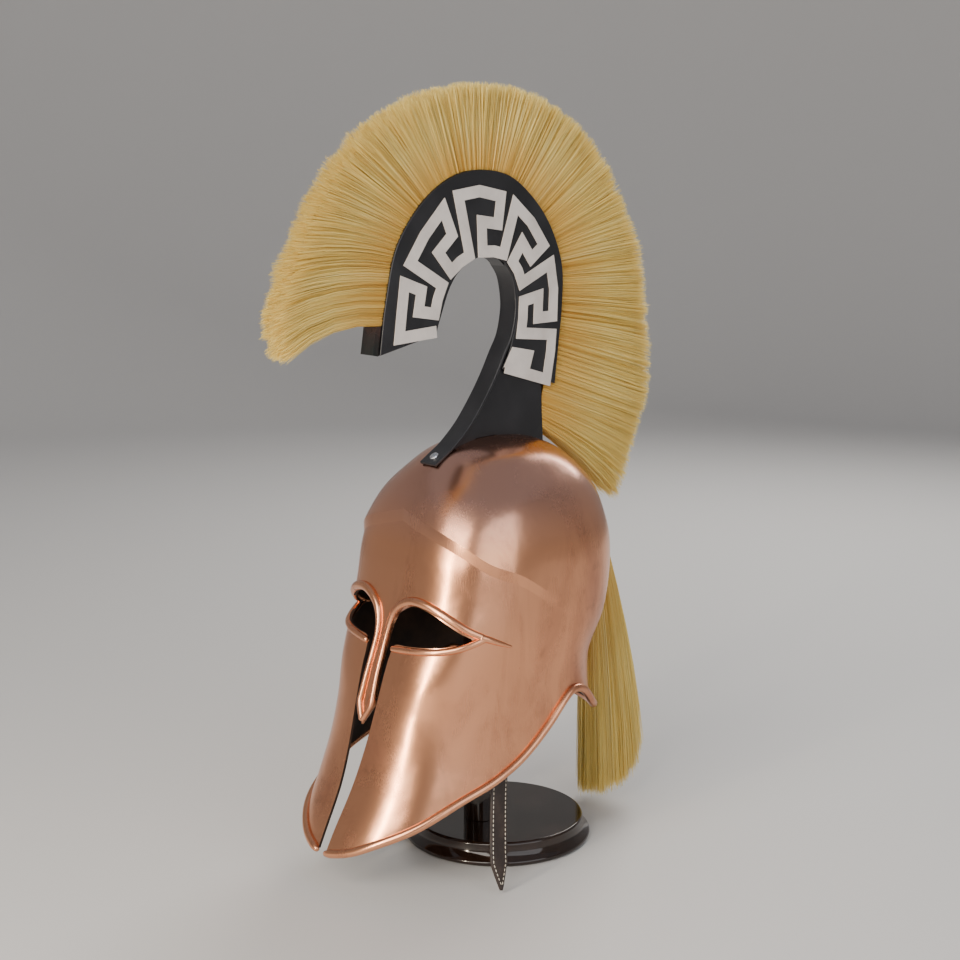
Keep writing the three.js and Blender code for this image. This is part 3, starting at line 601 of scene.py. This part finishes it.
rims = {
    "brow": [
        (0.6, 127, 2.4), (4.4, 133, 2.6), (7.4, 139.5, 2.7), (7.2, 147, 2.6), (6.4, 162, 2.4),
        (5.9, 184, 2.3),
        (6.3, 195, 2.5), (8, 204.5, 2.9), (12, 212.8, 3.3), (20, 219.6, 3.6), (31, 223.4, 3.8),
        (43.5, 222.4, 3.7), (55, 218.4, 3.5), (65, 212.4, 3.3), (73, 205.8, 3.2), (79, 200, 3.0),
    ],
    "lid": [
        (17.5, 184.6, 2.6), (32, 186.2, 2.8), (46, 187.4, 2.8), (60, 188.9, 2.8), (70, 191.6, 2.8),
        (76, 195.2, 2.9), (80, 199.2, 2.9),
    ],
    "tail": [(47, 200.5, 3.2), (51, 197.6, 2.7), (56, 193.6, 2.0), (61, 189.8, 1.0)],
    "roll": 3.4, "rollFrom": 2.0, "rollLift": 0.4,
}


def helmetRims(setup):
    parts = []
    for side in (1, -1):
        for name in ("brow", "lid"):
            x, z, half = np.array(setup[name], float).T
            points = facePoint(side * x, z, 0.2)
            if name == "brow":
                around, low, thin = np.array(setup["tail"], float).T
                points = np.concatenate([points, sheetPoint(stepAt(low), side * around, 0.2)])
                half = np.concatenate([half, thin])
            parts.append(rod(points, half, 1.1, 14))
    around = np.linspace(setup["rollFrom"], 360 - setup["rollFrom"], 220)
    radius = setup["roll"]
    line = sheetPoint(stepAt(edgeHeight(around) + radius * 0.8), around, setup["rollLift"])
    half = np.full(220, radius)
    half[[0, -1]] *= 0.7
    parts.append(rod(line, half, 2.2, 14))
    return makeMesh("helmetRims", *joinParts(parts), copper)


shell = helmetSheet(sheetGrid)
rimPiece = helmetRims(rims)
shell.data.materials.append(insideShadeCopper)
# Faces turned towards the skull get the near-black inside copper, which is painted shade.
skullMiddle = Vector((0, -0.04, 0.2))
for face in shell.data.polygons:
    if face.normal.dot(face.center - skullMiddle) < 0:
        face.material_index = 1
placePiece(shell, "copper", "helmet_shell")
placePiece(rimPiece, "copper", "helmet_shell")
print("helmet")


def addSockets(tree, rows):
    for name, kind, value in rows:
        socket = tree.interface.new_socket(name, in_out="INPUT", socket_type="NodeSocket" + kind)
        if value is not None:
            socket.default_value = value


# Bristles: strands of hair as one tree of Geometry Nodes on a root surface. The surface carries the way
# each strand goes: combMid bends it and combTip is where it ends, both from its root.
def bristleTree():
    tree = bpy.data.node_groups.new("bristles", "GeometryNodeTree")
    addSockets(tree, [
        ("Roots", "Geometry", None), ("Density", "Float", 1e6), ("Seed", "Int", 1),
        ("Half Width", "Float", 0.0003), ("Clump", "Float", 0.003), ("Clump Scale", "Float", 150.0),
        ("Stray", "Float", 0.001),
        ("Uneven", "Float", 0.04), ("Steps", "Int", 5), ("Material", "Material", None),
    ])
    tree.interface.new_socket("Hair", in_out="OUTPUT", socket_type="NodeSocketGeometry")
    given = tree.nodes.new("NodeGroupInput").outputs

    def named(name, kind="FLOAT"):
        return addNode(tree, "GeometryNodeInputNamedAttribute", {"data_type": kind}, Name=name).outputs[0]

    def store(geometry, name, value, kind="FLOAT", domain="POINT"):
        return addNode(tree, "GeometryNodeStoreNamedAttribute", {"data_type": kind, "domain": domain},
                       Geometry=geometry, Name=name, Value=value).outputs[0]

    def vector(operation, *values):
        inputs = {f"i{k}": value for k, value in enumerate(values)}
        if operation == "SCALE":
            inputs = {"i0": values[0], "i3": values[1]}
        return addNode(tree, "ShaderNodeVectorMath", {"operation": operation}, **inputs).outputs[0]

    def randomValue(low, high, seed, kind="FLOAT"):
        node = addNode(tree, "FunctionNodeRandomValue", {"data_type": kind})
        first = {"FLOAT": 2, "FLOAT_VECTOR": 0}[kind]
        node.inputs[first].default_value, node.inputs[first + 1].default_value = low, high
        tree.links.new(maths(tree, "ADD", given["Seed"], seed), node.inputs["Seed"])
        return node.outputs[{"FLOAT": 1, "FLOAT_VECTOR": 0}[kind]]

    points = addNode(tree, "GeometryNodeDistributePointsOnFaces", Mesh=given["Roots"],
                     Density=given["Density"], Seed=given["Seed"]).outputs[0]
    spot = addNode(tree, "GeometryNodeInputPosition").outputs[0]
    clump = addNode(tree, "ShaderNodeTexNoise", Vector=spot, Scale=given["Clump Scale"], Detail=2.0)
    centred = vector("SUBTRACT", clump.outputs["Color"], (0.5, 0.5, 0.5))
    clumpShift = vector("SCALE", centred, given["Clump"])
    stray = vector("SCALE", randomValue((-1, -1, -1), (1, 1, 1), 11, "FLOAT_VECTOR"), given["Stray"])
    points = store(points, "rootSpot", spot, "FLOAT_VECTOR")
    points = store(points, "drift", vector("ADD", clumpShift, stray), "FLOAT_VECTOR")
    uneven = maths(tree, "MULTIPLY", given["Uneven"], maths(
        tree, "ADD", maths(tree, "POWER", randomValue(0.0, 1.0, 23), 1.6),
        maths(tree, "MULTIPLY", clump.outputs["Fac"], 0.8)))
    points = store(points, "reach", maths(tree, "SUBTRACT", 1.0, uneven))
    streak = addNode(tree, "ShaderNodeTexNoise", Vector=spot, Scale=420.0, Detail=2.0).outputs["Fac"]
    single = maths(tree, "MULTIPLY", randomValue(0.0, 1.0, 37), 0.4)
    tone = maths(tree, "ADD", maths(tree, "MULTIPLY", streak, 0.6), single)
    points = store(points, "tone", tone)
    line = addNode(tree, "GeometryNodeCurvePrimitiveLine").outputs[0]
    line = addNode(tree, "GeometryNodeResampleCurve", Curve=line, Count=given["Steps"]).outputs[0]
    strands = addNode(tree, "GeometryNodeInstanceOnPoints", Points=points, Instance=line).outputs[0]
    strands = addNode(tree, "GeometryNodeRealizeInstances", Geometry=strands).outputs[0]

    factor = addNode(tree, "GeometryNodeSplineParameter").outputs["Factor"]
    along = maths(tree, "MULTIPLY", factor, named("reach"))
    mid = maths(tree, "MULTIPLY", maths(tree, "MULTIPLY", along, maths(tree, "SUBTRACT", 1.0, along)), 2.0)
    square = maths(tree, "MULTIPLY", along, along)
    bend = vector("SCALE", named("combMid", "FLOAT_VECTOR"), mid)
    place = vector("ADD", named("rootSpot", "FLOAT_VECTOR"), bend)
    place = vector("ADD", place, vector("SCALE", named("combTip", "FLOAT_VECTOR"), square))
    place = vector("ADD", place, vector("SCALE", named("drift", "FLOAT_VECTOR"), square))
    strands = addNode(tree, "GeometryNodeSetPosition", Geometry=strands, Position=place).outputs[0]
    strands = store(strands, "along", factor)
    thin = maths(tree, "SUBTRACT", 1.0, maths(tree, "MULTIPLY", maths(tree, "POWER", factor, 3.0), 0.7))
    strands = addNode(tree, "GeometryNodeSetCurveTilt", Curve=strands,
                      Tilt=maths(tree, "MULTIPLY", named("tone"), 40.0)).outputs[0]
    profile = addNode(tree, "GeometryNodeCurvePrimitiveLine", Start=(-1, 0, 0), End=(1, 0, 0)).outputs[0]
    mesh = addNode(tree, "GeometryNodeCurveToMesh", Curve=strands, i1=profile,
                   Scale=maths(tree, "MULTIPLY", thin, given["Half Width"])).outputs[0]
    mesh = addNode(tree, "GeometryNodeRealizeInstances", Geometry=mesh).outputs[0]
    mesh = addNode(tree, "GeometryNodeSetMaterial", Geometry=mesh, Material=given["Material"]).outputs[0]
    addNode(tree, "NodeGroupOutput", Hair=mesh)
    return tree


bristles = bristleTree()


def rootSurface(name, points, mids, tips, rows, columns):
    piece = makeMesh(name, points, gridFaces(rows, columns), hair)
    for attribute, values in (("combMid", mids), ("combTip", tips)):
        data = piece.data.attributes.new(attribute, "FLOAT_VECTOR", "POINT").data
        data.foreach_set("vector", (np.asarray(values) * mm).astype(np.float32).ravel())
    return piece


def grow(name, roots, tree, settings, material):
    modifier = roots.modifiers.new(name, "NODES")
    modifier.node_group = tree
    sockets = {item.name: item.identifier for item in tree.interface.items_tree if item.in_out == "INPUT"}
    for key, value in {**settings, "Material": material}.items():
        modifier[sockets[key]] = value
    mesh = bpy.data.meshes.new_from_object(roots.evaluated_get(bpy.context.evaluated_depsgraph_get()))
    mesh.name = name
    piece = bpy.data.objects.new(name, mesh)
    bpy.context.scene.collection.objects.link(piece)
    bpy.data.objects.remove(roots)
    return piece


def growHair(name, roots, settings):
    piece = grow(name, roots, bristles, settings, hair)
    made = piece.data.attributes
    for attribute in ("rootSpot", "drift", "reach", "combMid", "combTip"):
        if attribute in made:
            made.remove(made[attribute])
    print(name, len(piece.data.polygons))
    return piece


fan = table("place rootY rootZ tipY tipZ", [
    (0, -125, 433, -213, 410), (1, -120, 455, -220, 440), (2, -115, 480, -207, 480),
    (3, -104, 505, -181, 530),
    (4, -84, 530, -138, 578), (5, -54, 549, -82, 608), (6, -20, 554, -20, 618), (7, 13, 546, 44, 608),
    (8, 44, 518, 104, 567), (9, 62, 481, 149, 495), (10, 63.5, 445, 162, 435), (11, 59.5, 408, 167, 375),
    (12, 46, 368, 153, 326), (13, 45, 339, 130, 270),
])
fanHair = {
    "rootHalf": 8.0, "tipHalf": 13.0, "sunk": 0.05,
    "strands": {"Density": 6.0e6, "Seed": 3, "Half Width": 0.00036, "Clump": 0.011, "Clump Scale": 190.0,
                "Stray": 0.0016, "Uneven": 0.055, "Steps": 5},
}


def fanShape(place):
    root = np.stack([read(fan, "place", place, "rootY"), read(fan, "place", place, "rootZ")], -1)
    tip = np.stack([read(fan, "place", place, "tipY"), read(fan, "place", place, "tipZ")], -1)
    edge = np.gradient(root, axis=0)
    edge /= np.linalg.norm(edge, axis=-1, keepdims=True)
    normal = np.stack([-edge[..., 1], edge[..., 0]], -1)
    normal *= np.sign((normal * (tip - root)).sum(-1, keepdims=True))
    length = np.linalg.norm(tip - root, axis=-1, keepdims=True)
    lean = np.interp(place, [0, 1.5, 3.5, 11, 13], [0.9, 0.75, 0.25, 0.2, 0.25])[..., None]
    middle = (root + tip) / 2 * (1 - lean) + (root + normal * length * 0.5) * lean
    root = root - (tip - root) * fanHair["sunk"]
    return root, middle, tip


def fanRoots(name, start, end):
    places = np.linspace(start, end, 70)
    across = np.linspace(-1, 1, 9)
    root, middle, tip = fanShape(places)
    flat = across * (1.25 - 0.25 * across ** 2)
    points, mids, tips = [], [], []
    for k in range(len(places)):
        for v, a in zip(across, flat):
            base = np.array([a * fanHair["rootHalf"], *root[k]])
            short = 1 - 0.05 * v ** 2
            end3 = np.array([a * fanHair["tipHalf"], *(root[k] + (tip[k] - root[k]) * short)])
            mid3 = np.array([a * (fanHair["rootHalf"] * 0.3 + fanHair["tipHalf"] * 0.7), *middle[k]])
            points.append(base)
            mids.append(mid3 - base)
            tips.append(end3 - base)
    return rootSurface(name, points, mids, tips, len(places), len(across))


def plumeCore():
    places = np.linspace(0.1, 12.9, 90)
    root, middle, tip = fanShape(places)
    reaches = np.linspace(0, 0.86, 14)
    sheetPoints = []
    for side in (1, -1):
        for k in range(len(places)):
            for f in reaches:
                half = (fanHair["rootHalf"] * (1 - f) + fanHair["tipHalf"] * f) * 0.86
                half *= np.sqrt(max(0, 1 - (f / 0.88) ** 8)) * min(1, min(k, 89 - k) / 3 + 0.05)
                spot = root[k] * (1 - f) ** 2 + 2 * middle[k] * f * (1 - f) + tip[k] * f ** 2
                sheetPoints.append((side * half, *spot))
    size = len(places) * len(reaches)
    faces = gridFaces(len(places), len(reaches))
    both = faces.tolist() + (faces + size)[:, ::-1].tolist()
    for k in range(len(places) - 1):
        for column in (0, len(reaches) - 1):
            a, b = k * len(reaches) + column, (k + 1) * len(reaches) + column
            quad = [a, b, b + size, a + size]
            both.append(quad if column else quad[::-1])
    return makeMesh("plumeCore", sheetPoints, both, hair)


pieces = [growHair("plumeFront", fanRoots("fanRoots", 0, 6.2), fanHair["strands"]),
          growHair("plumeBack", fanRoots("fanRoots", 6.2, 13), {**fanHair["strands"], "Seed": 5})]
for piece in pieces:
    placePiece(piece, "hair", "plume")
placePiece(plumeCore(), "hair", "plume")

tail = {
    "top": (102, 268, 7.0, 5.0), "middle": (124, 150, 20.0, 28.0), "foot": (130, 5, 23.0, 30.0),
    "strands": {"Density": 1.1e8, "Seed": 8, "Half Width": 0.00036, "Clump": 0.012, "Clump Scale": 500.0,
                "Stray": 0.003, "Uneven": 0.05, "Steps": 7},
}


def tailRoots():
    points, mids, tips = [], [], []
    across = np.linspace(-1, 1, 15)
    for a in across:
        for b in across:
            x, y = a * np.sqrt(1 - b * b / 2), b * np.sqrt(1 - a * a / 2)
            levels = (tail["top"], tail["middle"], tail["foot"])
            base, middle, tip = ((x * wide, y0 + y * deep, z) for y0, z, wide, deep in levels)
            low = np.interp(tip[1], [95, 104, 117, 130, 149, 160], [4, 4, 9, 14, 30, 46])
            tip = (tip[0], tip[1], low)
            points.append(base)
            mids.append(np.subtract(middle, base))
            tips.append(np.subtract(tip, base))
    return rootSurface("tailRoots", points, mids, tips, 15, 15)


tailHair = growHair("plumeTail", tailRoots(), tail["strands"])
placePiece(tailHair, "hair", "plume_tail")
print("hair")


# Crest boards, band, strap and stand: slabs and turned forms with softened edges.
def soften(piece, width, segments=3):
    modifier = piece.modifiers.new("edges", "BEVEL")
    modifier.width, modifier.segments, modifier.harden_normals = width * mm, segments, True
    modifier.limit_method, modifier.angle_limit = "ANGLE", 0.6
    mesh = bpy.data.meshes.new_from_object(piece.evaluated_get(bpy.context.evaluated_depsgraph_get()))
    piece.modifiers.clear()
    piece.data = mesh
    return piece


def splineThrough(points, count):
    points = np.asarray(points, float)
    held = np.concatenate([[2 * points[0] - points[1]], points, [2 * points[-1] - points[-2]]])
    at = np.linspace(0, len(points) - 1, count)
    first = np.minimum(at.astype(int), len(points) - 2)
    t = (at - first)[:, None]
    a, b, c, d = (held[first + k] for k in range(4))
    square, cube = 2 * a - 5 * b + 4 * c - d, 3 * b - a - 3 * c + d
    return 0.5 * (2 * b + (c - a) * t + square * t ** 2 + cube * t ** 3)


def sideSlab(name, outline, low, high, material, edge):
    count = len(outline)
    points = [(x, y, z) for x in (low, high) for y, z in outline]
    faces = [list(range(count))[::-1], list(range(count, 2 * count))]
    faces += [[k, (k + 1) % count, (k + 1) % count + count, k + count] for k in range(count)]
    area = sum(outline[k - 1][0] * outline[k][1] - outline[k][0] * outline[k - 1][1] for k in range(count))
    if area < 0:
        faces = [face[::-1] for face in faces]
    return soften(makeMesh(name, points, faces, material), edge)


board = {
    "outer": [(-124, 412), (-118, 452), (-107, 494), (-82, 527), (-52, 546), (-20, 550.5), (10, 543),
              (41, 515), (58.5, 479), (60, 445), (56, 408), (52.5, 378)],
    "inner": [(-4, 394), (5, 412), (11.5, 440), (7.5, 466), (-5, 480.5), (-23, 484.5), (-43, 476.5),
              (-56, 462), (-66, 438), (-70.5, 425)],
    "inside": 8.2, "outside": 10.0, "edge": 0.7,
}
boardLine = np.concatenate([splineThrough(board["outer"], 90), splineThrough(board["inner"], 60)])
for side, name in ((1, "Left"), (-1, "Right")):
    low, high = sorted((side * board["inside"], side * board["outside"]))
    plate = sideSlab("crestPlate" + name, boardLine, low, high, blackPaint, board["edge"])
    placePiece(plate, "black_paint", "crest_plate_" + name.lower())

band = {
    "line": [(-1, 479), (7, 467), (10.6, 450), (10.4, 437), (6.5, 420), (-1, 406), (-10, 389), (-21, 371.5),
             (-36, 351.5), (-51, 337), (-60, 330.5), (-72, 322.5)],
    "half": 10, "thick": 2.4, "edge": 0.7,
}
middle = splineThrough(band["line"], 80)
ahead = np.gradient(middle, axis=0)
ahead /= np.linalg.norm(ahead, axis=1, keepdims=True)
across = np.stack([-ahead[:, 1], ahead[:, 0]], -1) * band["thick"] / 2
bandLine = np.concatenate([middle + across, (middle - across)[::-1]])
placePiece(sideSlab("crestBand", bandLine, -band["half"], band["half"], blackPaint, band["edge"]),
           "black_paint", "crest_strap")
print("crest")


def faceOutward(piece):
    work = bmesh.new()
    work.from_mesh(piece.data)
    bmesh.ops.recalc_face_normals(work, faces=work.faces)
    work.to_mesh(piece.data)
    work.free()


def turned(name, nodeName, centreY, sides, edge):
    spots = np.array([v.co[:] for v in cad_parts[nodeName].data.vertices]) / mm
    radii = np.hypot(spots[:, 0], spots[:, 1] - centreY)
    levels = sorted(set(np.round(spots[:, 2], 1)))
    profile = [(max(radii[np.abs(spots[:, 2] - z) < 0.1]), z) for z in levels]
    turns = 2 * np.pi * np.arange(sides) / sides
    points = [(r * np.cos(t), centreY + r * np.sin(t), z) for r, z in profile for t in turns]
    faces = gridFaces(len(profile), sides, True).tolist()
    last = len(points) - sides
    faces += [list(range(sides))[::-1], list(range(last, last + sides))]
    piece = makeMesh(name, points, faces, lacquer)
    faceOutward(piece)
    return soften(piece, edge, 3)


placePiece(turned("standBase", "stand_base", 0, 192, 0.8), "lacquer", "stand_base")
placePiece(turned("standPost", "stand_post", -18, 72, 0.3), "lacquer", "stand_post")

strap = {
    "line": [(75, -59, 152), (76, -60.5, 125), (76.9, -61.5, 100), (77.6, -62.8, 82), (80.8, -66, 66),
             (86, -70.5, 45), (92.5, -75.5, 24), (100, -79, 2.5)],
    "half": 8, "thick": 2.6, "point": 22, "seam": 2.1, "sunk": 0.47, "rings": 120, "sides": 24,
    "stitches": {"Spacing": 3.4 * mm, "Thread": 0.42 * mm, "Stretch": 2.9},
}


def strapFrame():
    line = splineThrough(strap["line"], strap["rings"])
    ahead = np.gradient(line, axis=0)
    ahead /= np.linalg.norm(ahead, axis=1, keepdims=True)
    wide = np.array([0.0, 1.0, 0.0]) - ahead * ahead[:, 1:2]
    wide /= np.linalg.norm(wide, axis=1, keepdims=True)
    left = np.concatenate([np.linalg.norm(np.diff(line, axis=0), axis=1)[::-1].cumsum()[::-1], [0]])
    half = strap["half"] * np.minimum(1, left / strap["point"] + 0.05) ** 0.8
    return line, wide, np.cross(ahead, wide), half


def chinStrapPiece():
    line, wide, thick, half = strapFrame()
    turns = 2 * np.pi * np.arange(strap["sides"]) / strap["sides"]
    flat, deep = (np.sign(f) * np.abs(f) ** 0.45 for f in (np.cos(turns), np.sin(turns)))
    rings = (line[:, None] + wide[:, None] * (half[:, None] * flat)[..., None]
             + thick[:, None] * (deep * strap["thick"] / 2)[None, :, None])
    faces = gridFaces(strap["rings"], strap["sides"], True).tolist()
    last = (strap["rings"] - 1) * strap["sides"]
    faces += [list(range(strap["sides"]))[::-1], list(range(last, last + strap["sides"]))]
    piece = makeMesh("chinStrap", rings.reshape(-1, 3), faces, leather)
    faceOutward(piece)
    return piece


def stitchTree():
    tree = bpy.data.node_groups.new("stitches", "GeometryNodeTree")
    addSockets(tree, [
        ("Seams", "Geometry", None), ("Spacing", "Float", 0.003), ("Thread", "Float", 0.0004),
        ("Stretch", "Float", 3.0), ("Material", "Material", None),
    ])
    tree.interface.new_socket("Stitches", in_out="OUTPUT", socket_type="NodeSocketGeometry")
    given = tree.nodes.new("NodeGroupInput").outputs
    curve = addNode(tree, "GeometryNodeMeshToCurve", Mesh=given["Seams"]).outputs[0]
    spots = addNode(tree, "GeometryNodeCurveToPoints", {"mode": "LENGTH"},
                    Curve=curve, Length=given["Spacing"])
    thread = addNode(tree, "GeometryNodeMeshUVSphere",
                     Segments=10, Rings=6, Radius=given["Thread"]).outputs[0]
    size = addNode(tree, "ShaderNodeCombineXYZ", X=1.0, Y=1.0, Z=given["Stretch"]).outputs[0]
    sewn = addNode(tree, "GeometryNodeInstanceOnPoints", Points=spots.outputs["Points"], Instance=thread,
                   Rotation=spots.outputs["Rotation"], Scale=size).outputs[0]
    sewn = addNode(tree, "GeometryNodeRealizeInstances", Geometry=sewn).outputs[0]
    sewn = addNode(tree, "GeometryNodeSetMaterial", Geometry=sewn, Material=given["Material"]).outputs[0]
    addNode(tree, "NodeGroupOutput", Stitches=sewn)
    return tree


def seamLines():
    line, wide, thick, half = strapFrame()
    keep = half > strap["seam"] + 0.6
    points, edges = [], []
    for face in (1, -1):
        for side in (1, -1):
            across = wide * side * (half - strap["seam"])[:, None]
            row = (line + across + thick * face * strap["thick"] * strap["sunk"])[keep]
            edges += [(len(points) + k, len(points) + k + 1) for k in range(len(row) - 1)]
            points += (row * mm).tolist()
    mesh = bpy.data.meshes.new("seams")
    mesh.from_pydata(points, edges, [])
    seams = bpy.data.objects.new("seams", mesh)
    bpy.context.scene.collection.objects.link(seams)
    return seams


threadLook = {"color": (0.62, 0.57, 0.48, 1), "dust": (0.38, 0.33, 0.26, 1), "roughness": 0.6}
thread = paintMaterial("thread", threadLook)
placePiece(chinStrapPiece(), "leather", "chin_strap")
stitches = grow("chinStitches", seamLines(), stitchTree(), strap["stitches"], thread)
placePiece(stitches, "leather", "chin_strap")
print("strap and stand")


# Studio: pale floor swept up into a backdrop, a large soft key, a fill and a rim light.
backdrop = {"flat": 2400, "sweep": 1100, "low": -0.4, "high": 3400, "sides": 96}


def makeStudio():
    floorMaterial, tree = newMaterial("floor")
    surface = addNode(tree, "ShaderNodeBsdfPrincipled", Base_Color=(0.62, 0.61, 0.60, 1), Roughness=0.6)
    finishMaterial(tree, surface.outputs[0])
    flat, sweep, low, high, sides = (backdrop[key] for key in ("flat", "sweep", "low", "high", "sides"))
    profile = [(0.01, low), (flat, low)]
    for t in np.linspace(0.1, np.pi / 2, 16):
        profile.append((flat + sweep * np.sin(t), low + sweep * (1 - np.cos(t))))
    profile.append((flat + sweep, high))
    turns = 2 * np.pi * np.arange(sides) / sides
    spots = [(r * np.cos(t), r * np.sin(t), z) for r, z in profile for t in turns]
    floor = makeMesh("floor", spots, gridFaces(len(profile), sides, True), floorMaterial)
    world = bpy.data.worlds.new("world")
    world.use_nodes = True
    bpy.context.scene.world = world
    world.node_tree.nodes["Background"].inputs[0].default_value = (0.55, 0.57, 0.62, 1)
    world.node_tree.nodes["Background"].inputs[1].default_value = 0.55
    lights = [
        ("key", (0.55, -1.6, 1.1), (0, 0, 0.28), 1.3, 1.3, 34, (1.0, 0.93, 0.84)),
        ("fill", (1.8, -0.1, 0.9), (0, 0, 0.35), 1.6, 1.6, 14, (0.92, 0.95, 1.0)),
        ("rimLight", (-0.7, 1.5, 1.4), (0, 0, 0.4), 1.0, 1.0, 26, (1.0, 0.97, 0.93)),
        ("strip", (0.25, -1.15, 0.35), (0, -0.1, 0.22), 0.05, 0.5, 6, (1.0, 0.86, 0.66)),
    ]
    for name, spot, target, wide, high, power, color in lights:
        light = bpy.data.lights.new(name, "AREA")
        light.shape = "RECTANGLE"
        light.size, light.size_y = wide, high
        light.energy, light.color = power, color
        lamp = bpy.data.objects.new(name, light)
        lamp.location = spot
        lamp.rotation_euler = (Vector(target) - Vector(spot)).to_track_quat("-Z", "Y").to_euler()
        bpy.context.scene.collection.objects.link(lamp)


makeStudio()
looks = {
    "crest_core": blackPaint, "crest_plate_left": blackPaint, "crest_plate_right": blackPaint,
    "meander_left": whitePaint, "meander_right": whitePaint, "crest_end_block": resin,
    "crest_strap": blackPaint,
    "crest_rivet": steel, "plume": hair, "plume_tail": hair, "tail_ferrule": blackPaint,
    "chin_strap": leather,
    "chin_strap_rivet": steel, "stand_base": lacquer, "stand_post": lacquer, "stand_cap": lacquer,
    "helmet_shell": copper,
}
for nodeName, material in looks.items():
    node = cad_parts[nodeName]
    node.data.materials.clear()
    node.data.materials.append(material)

print("done")
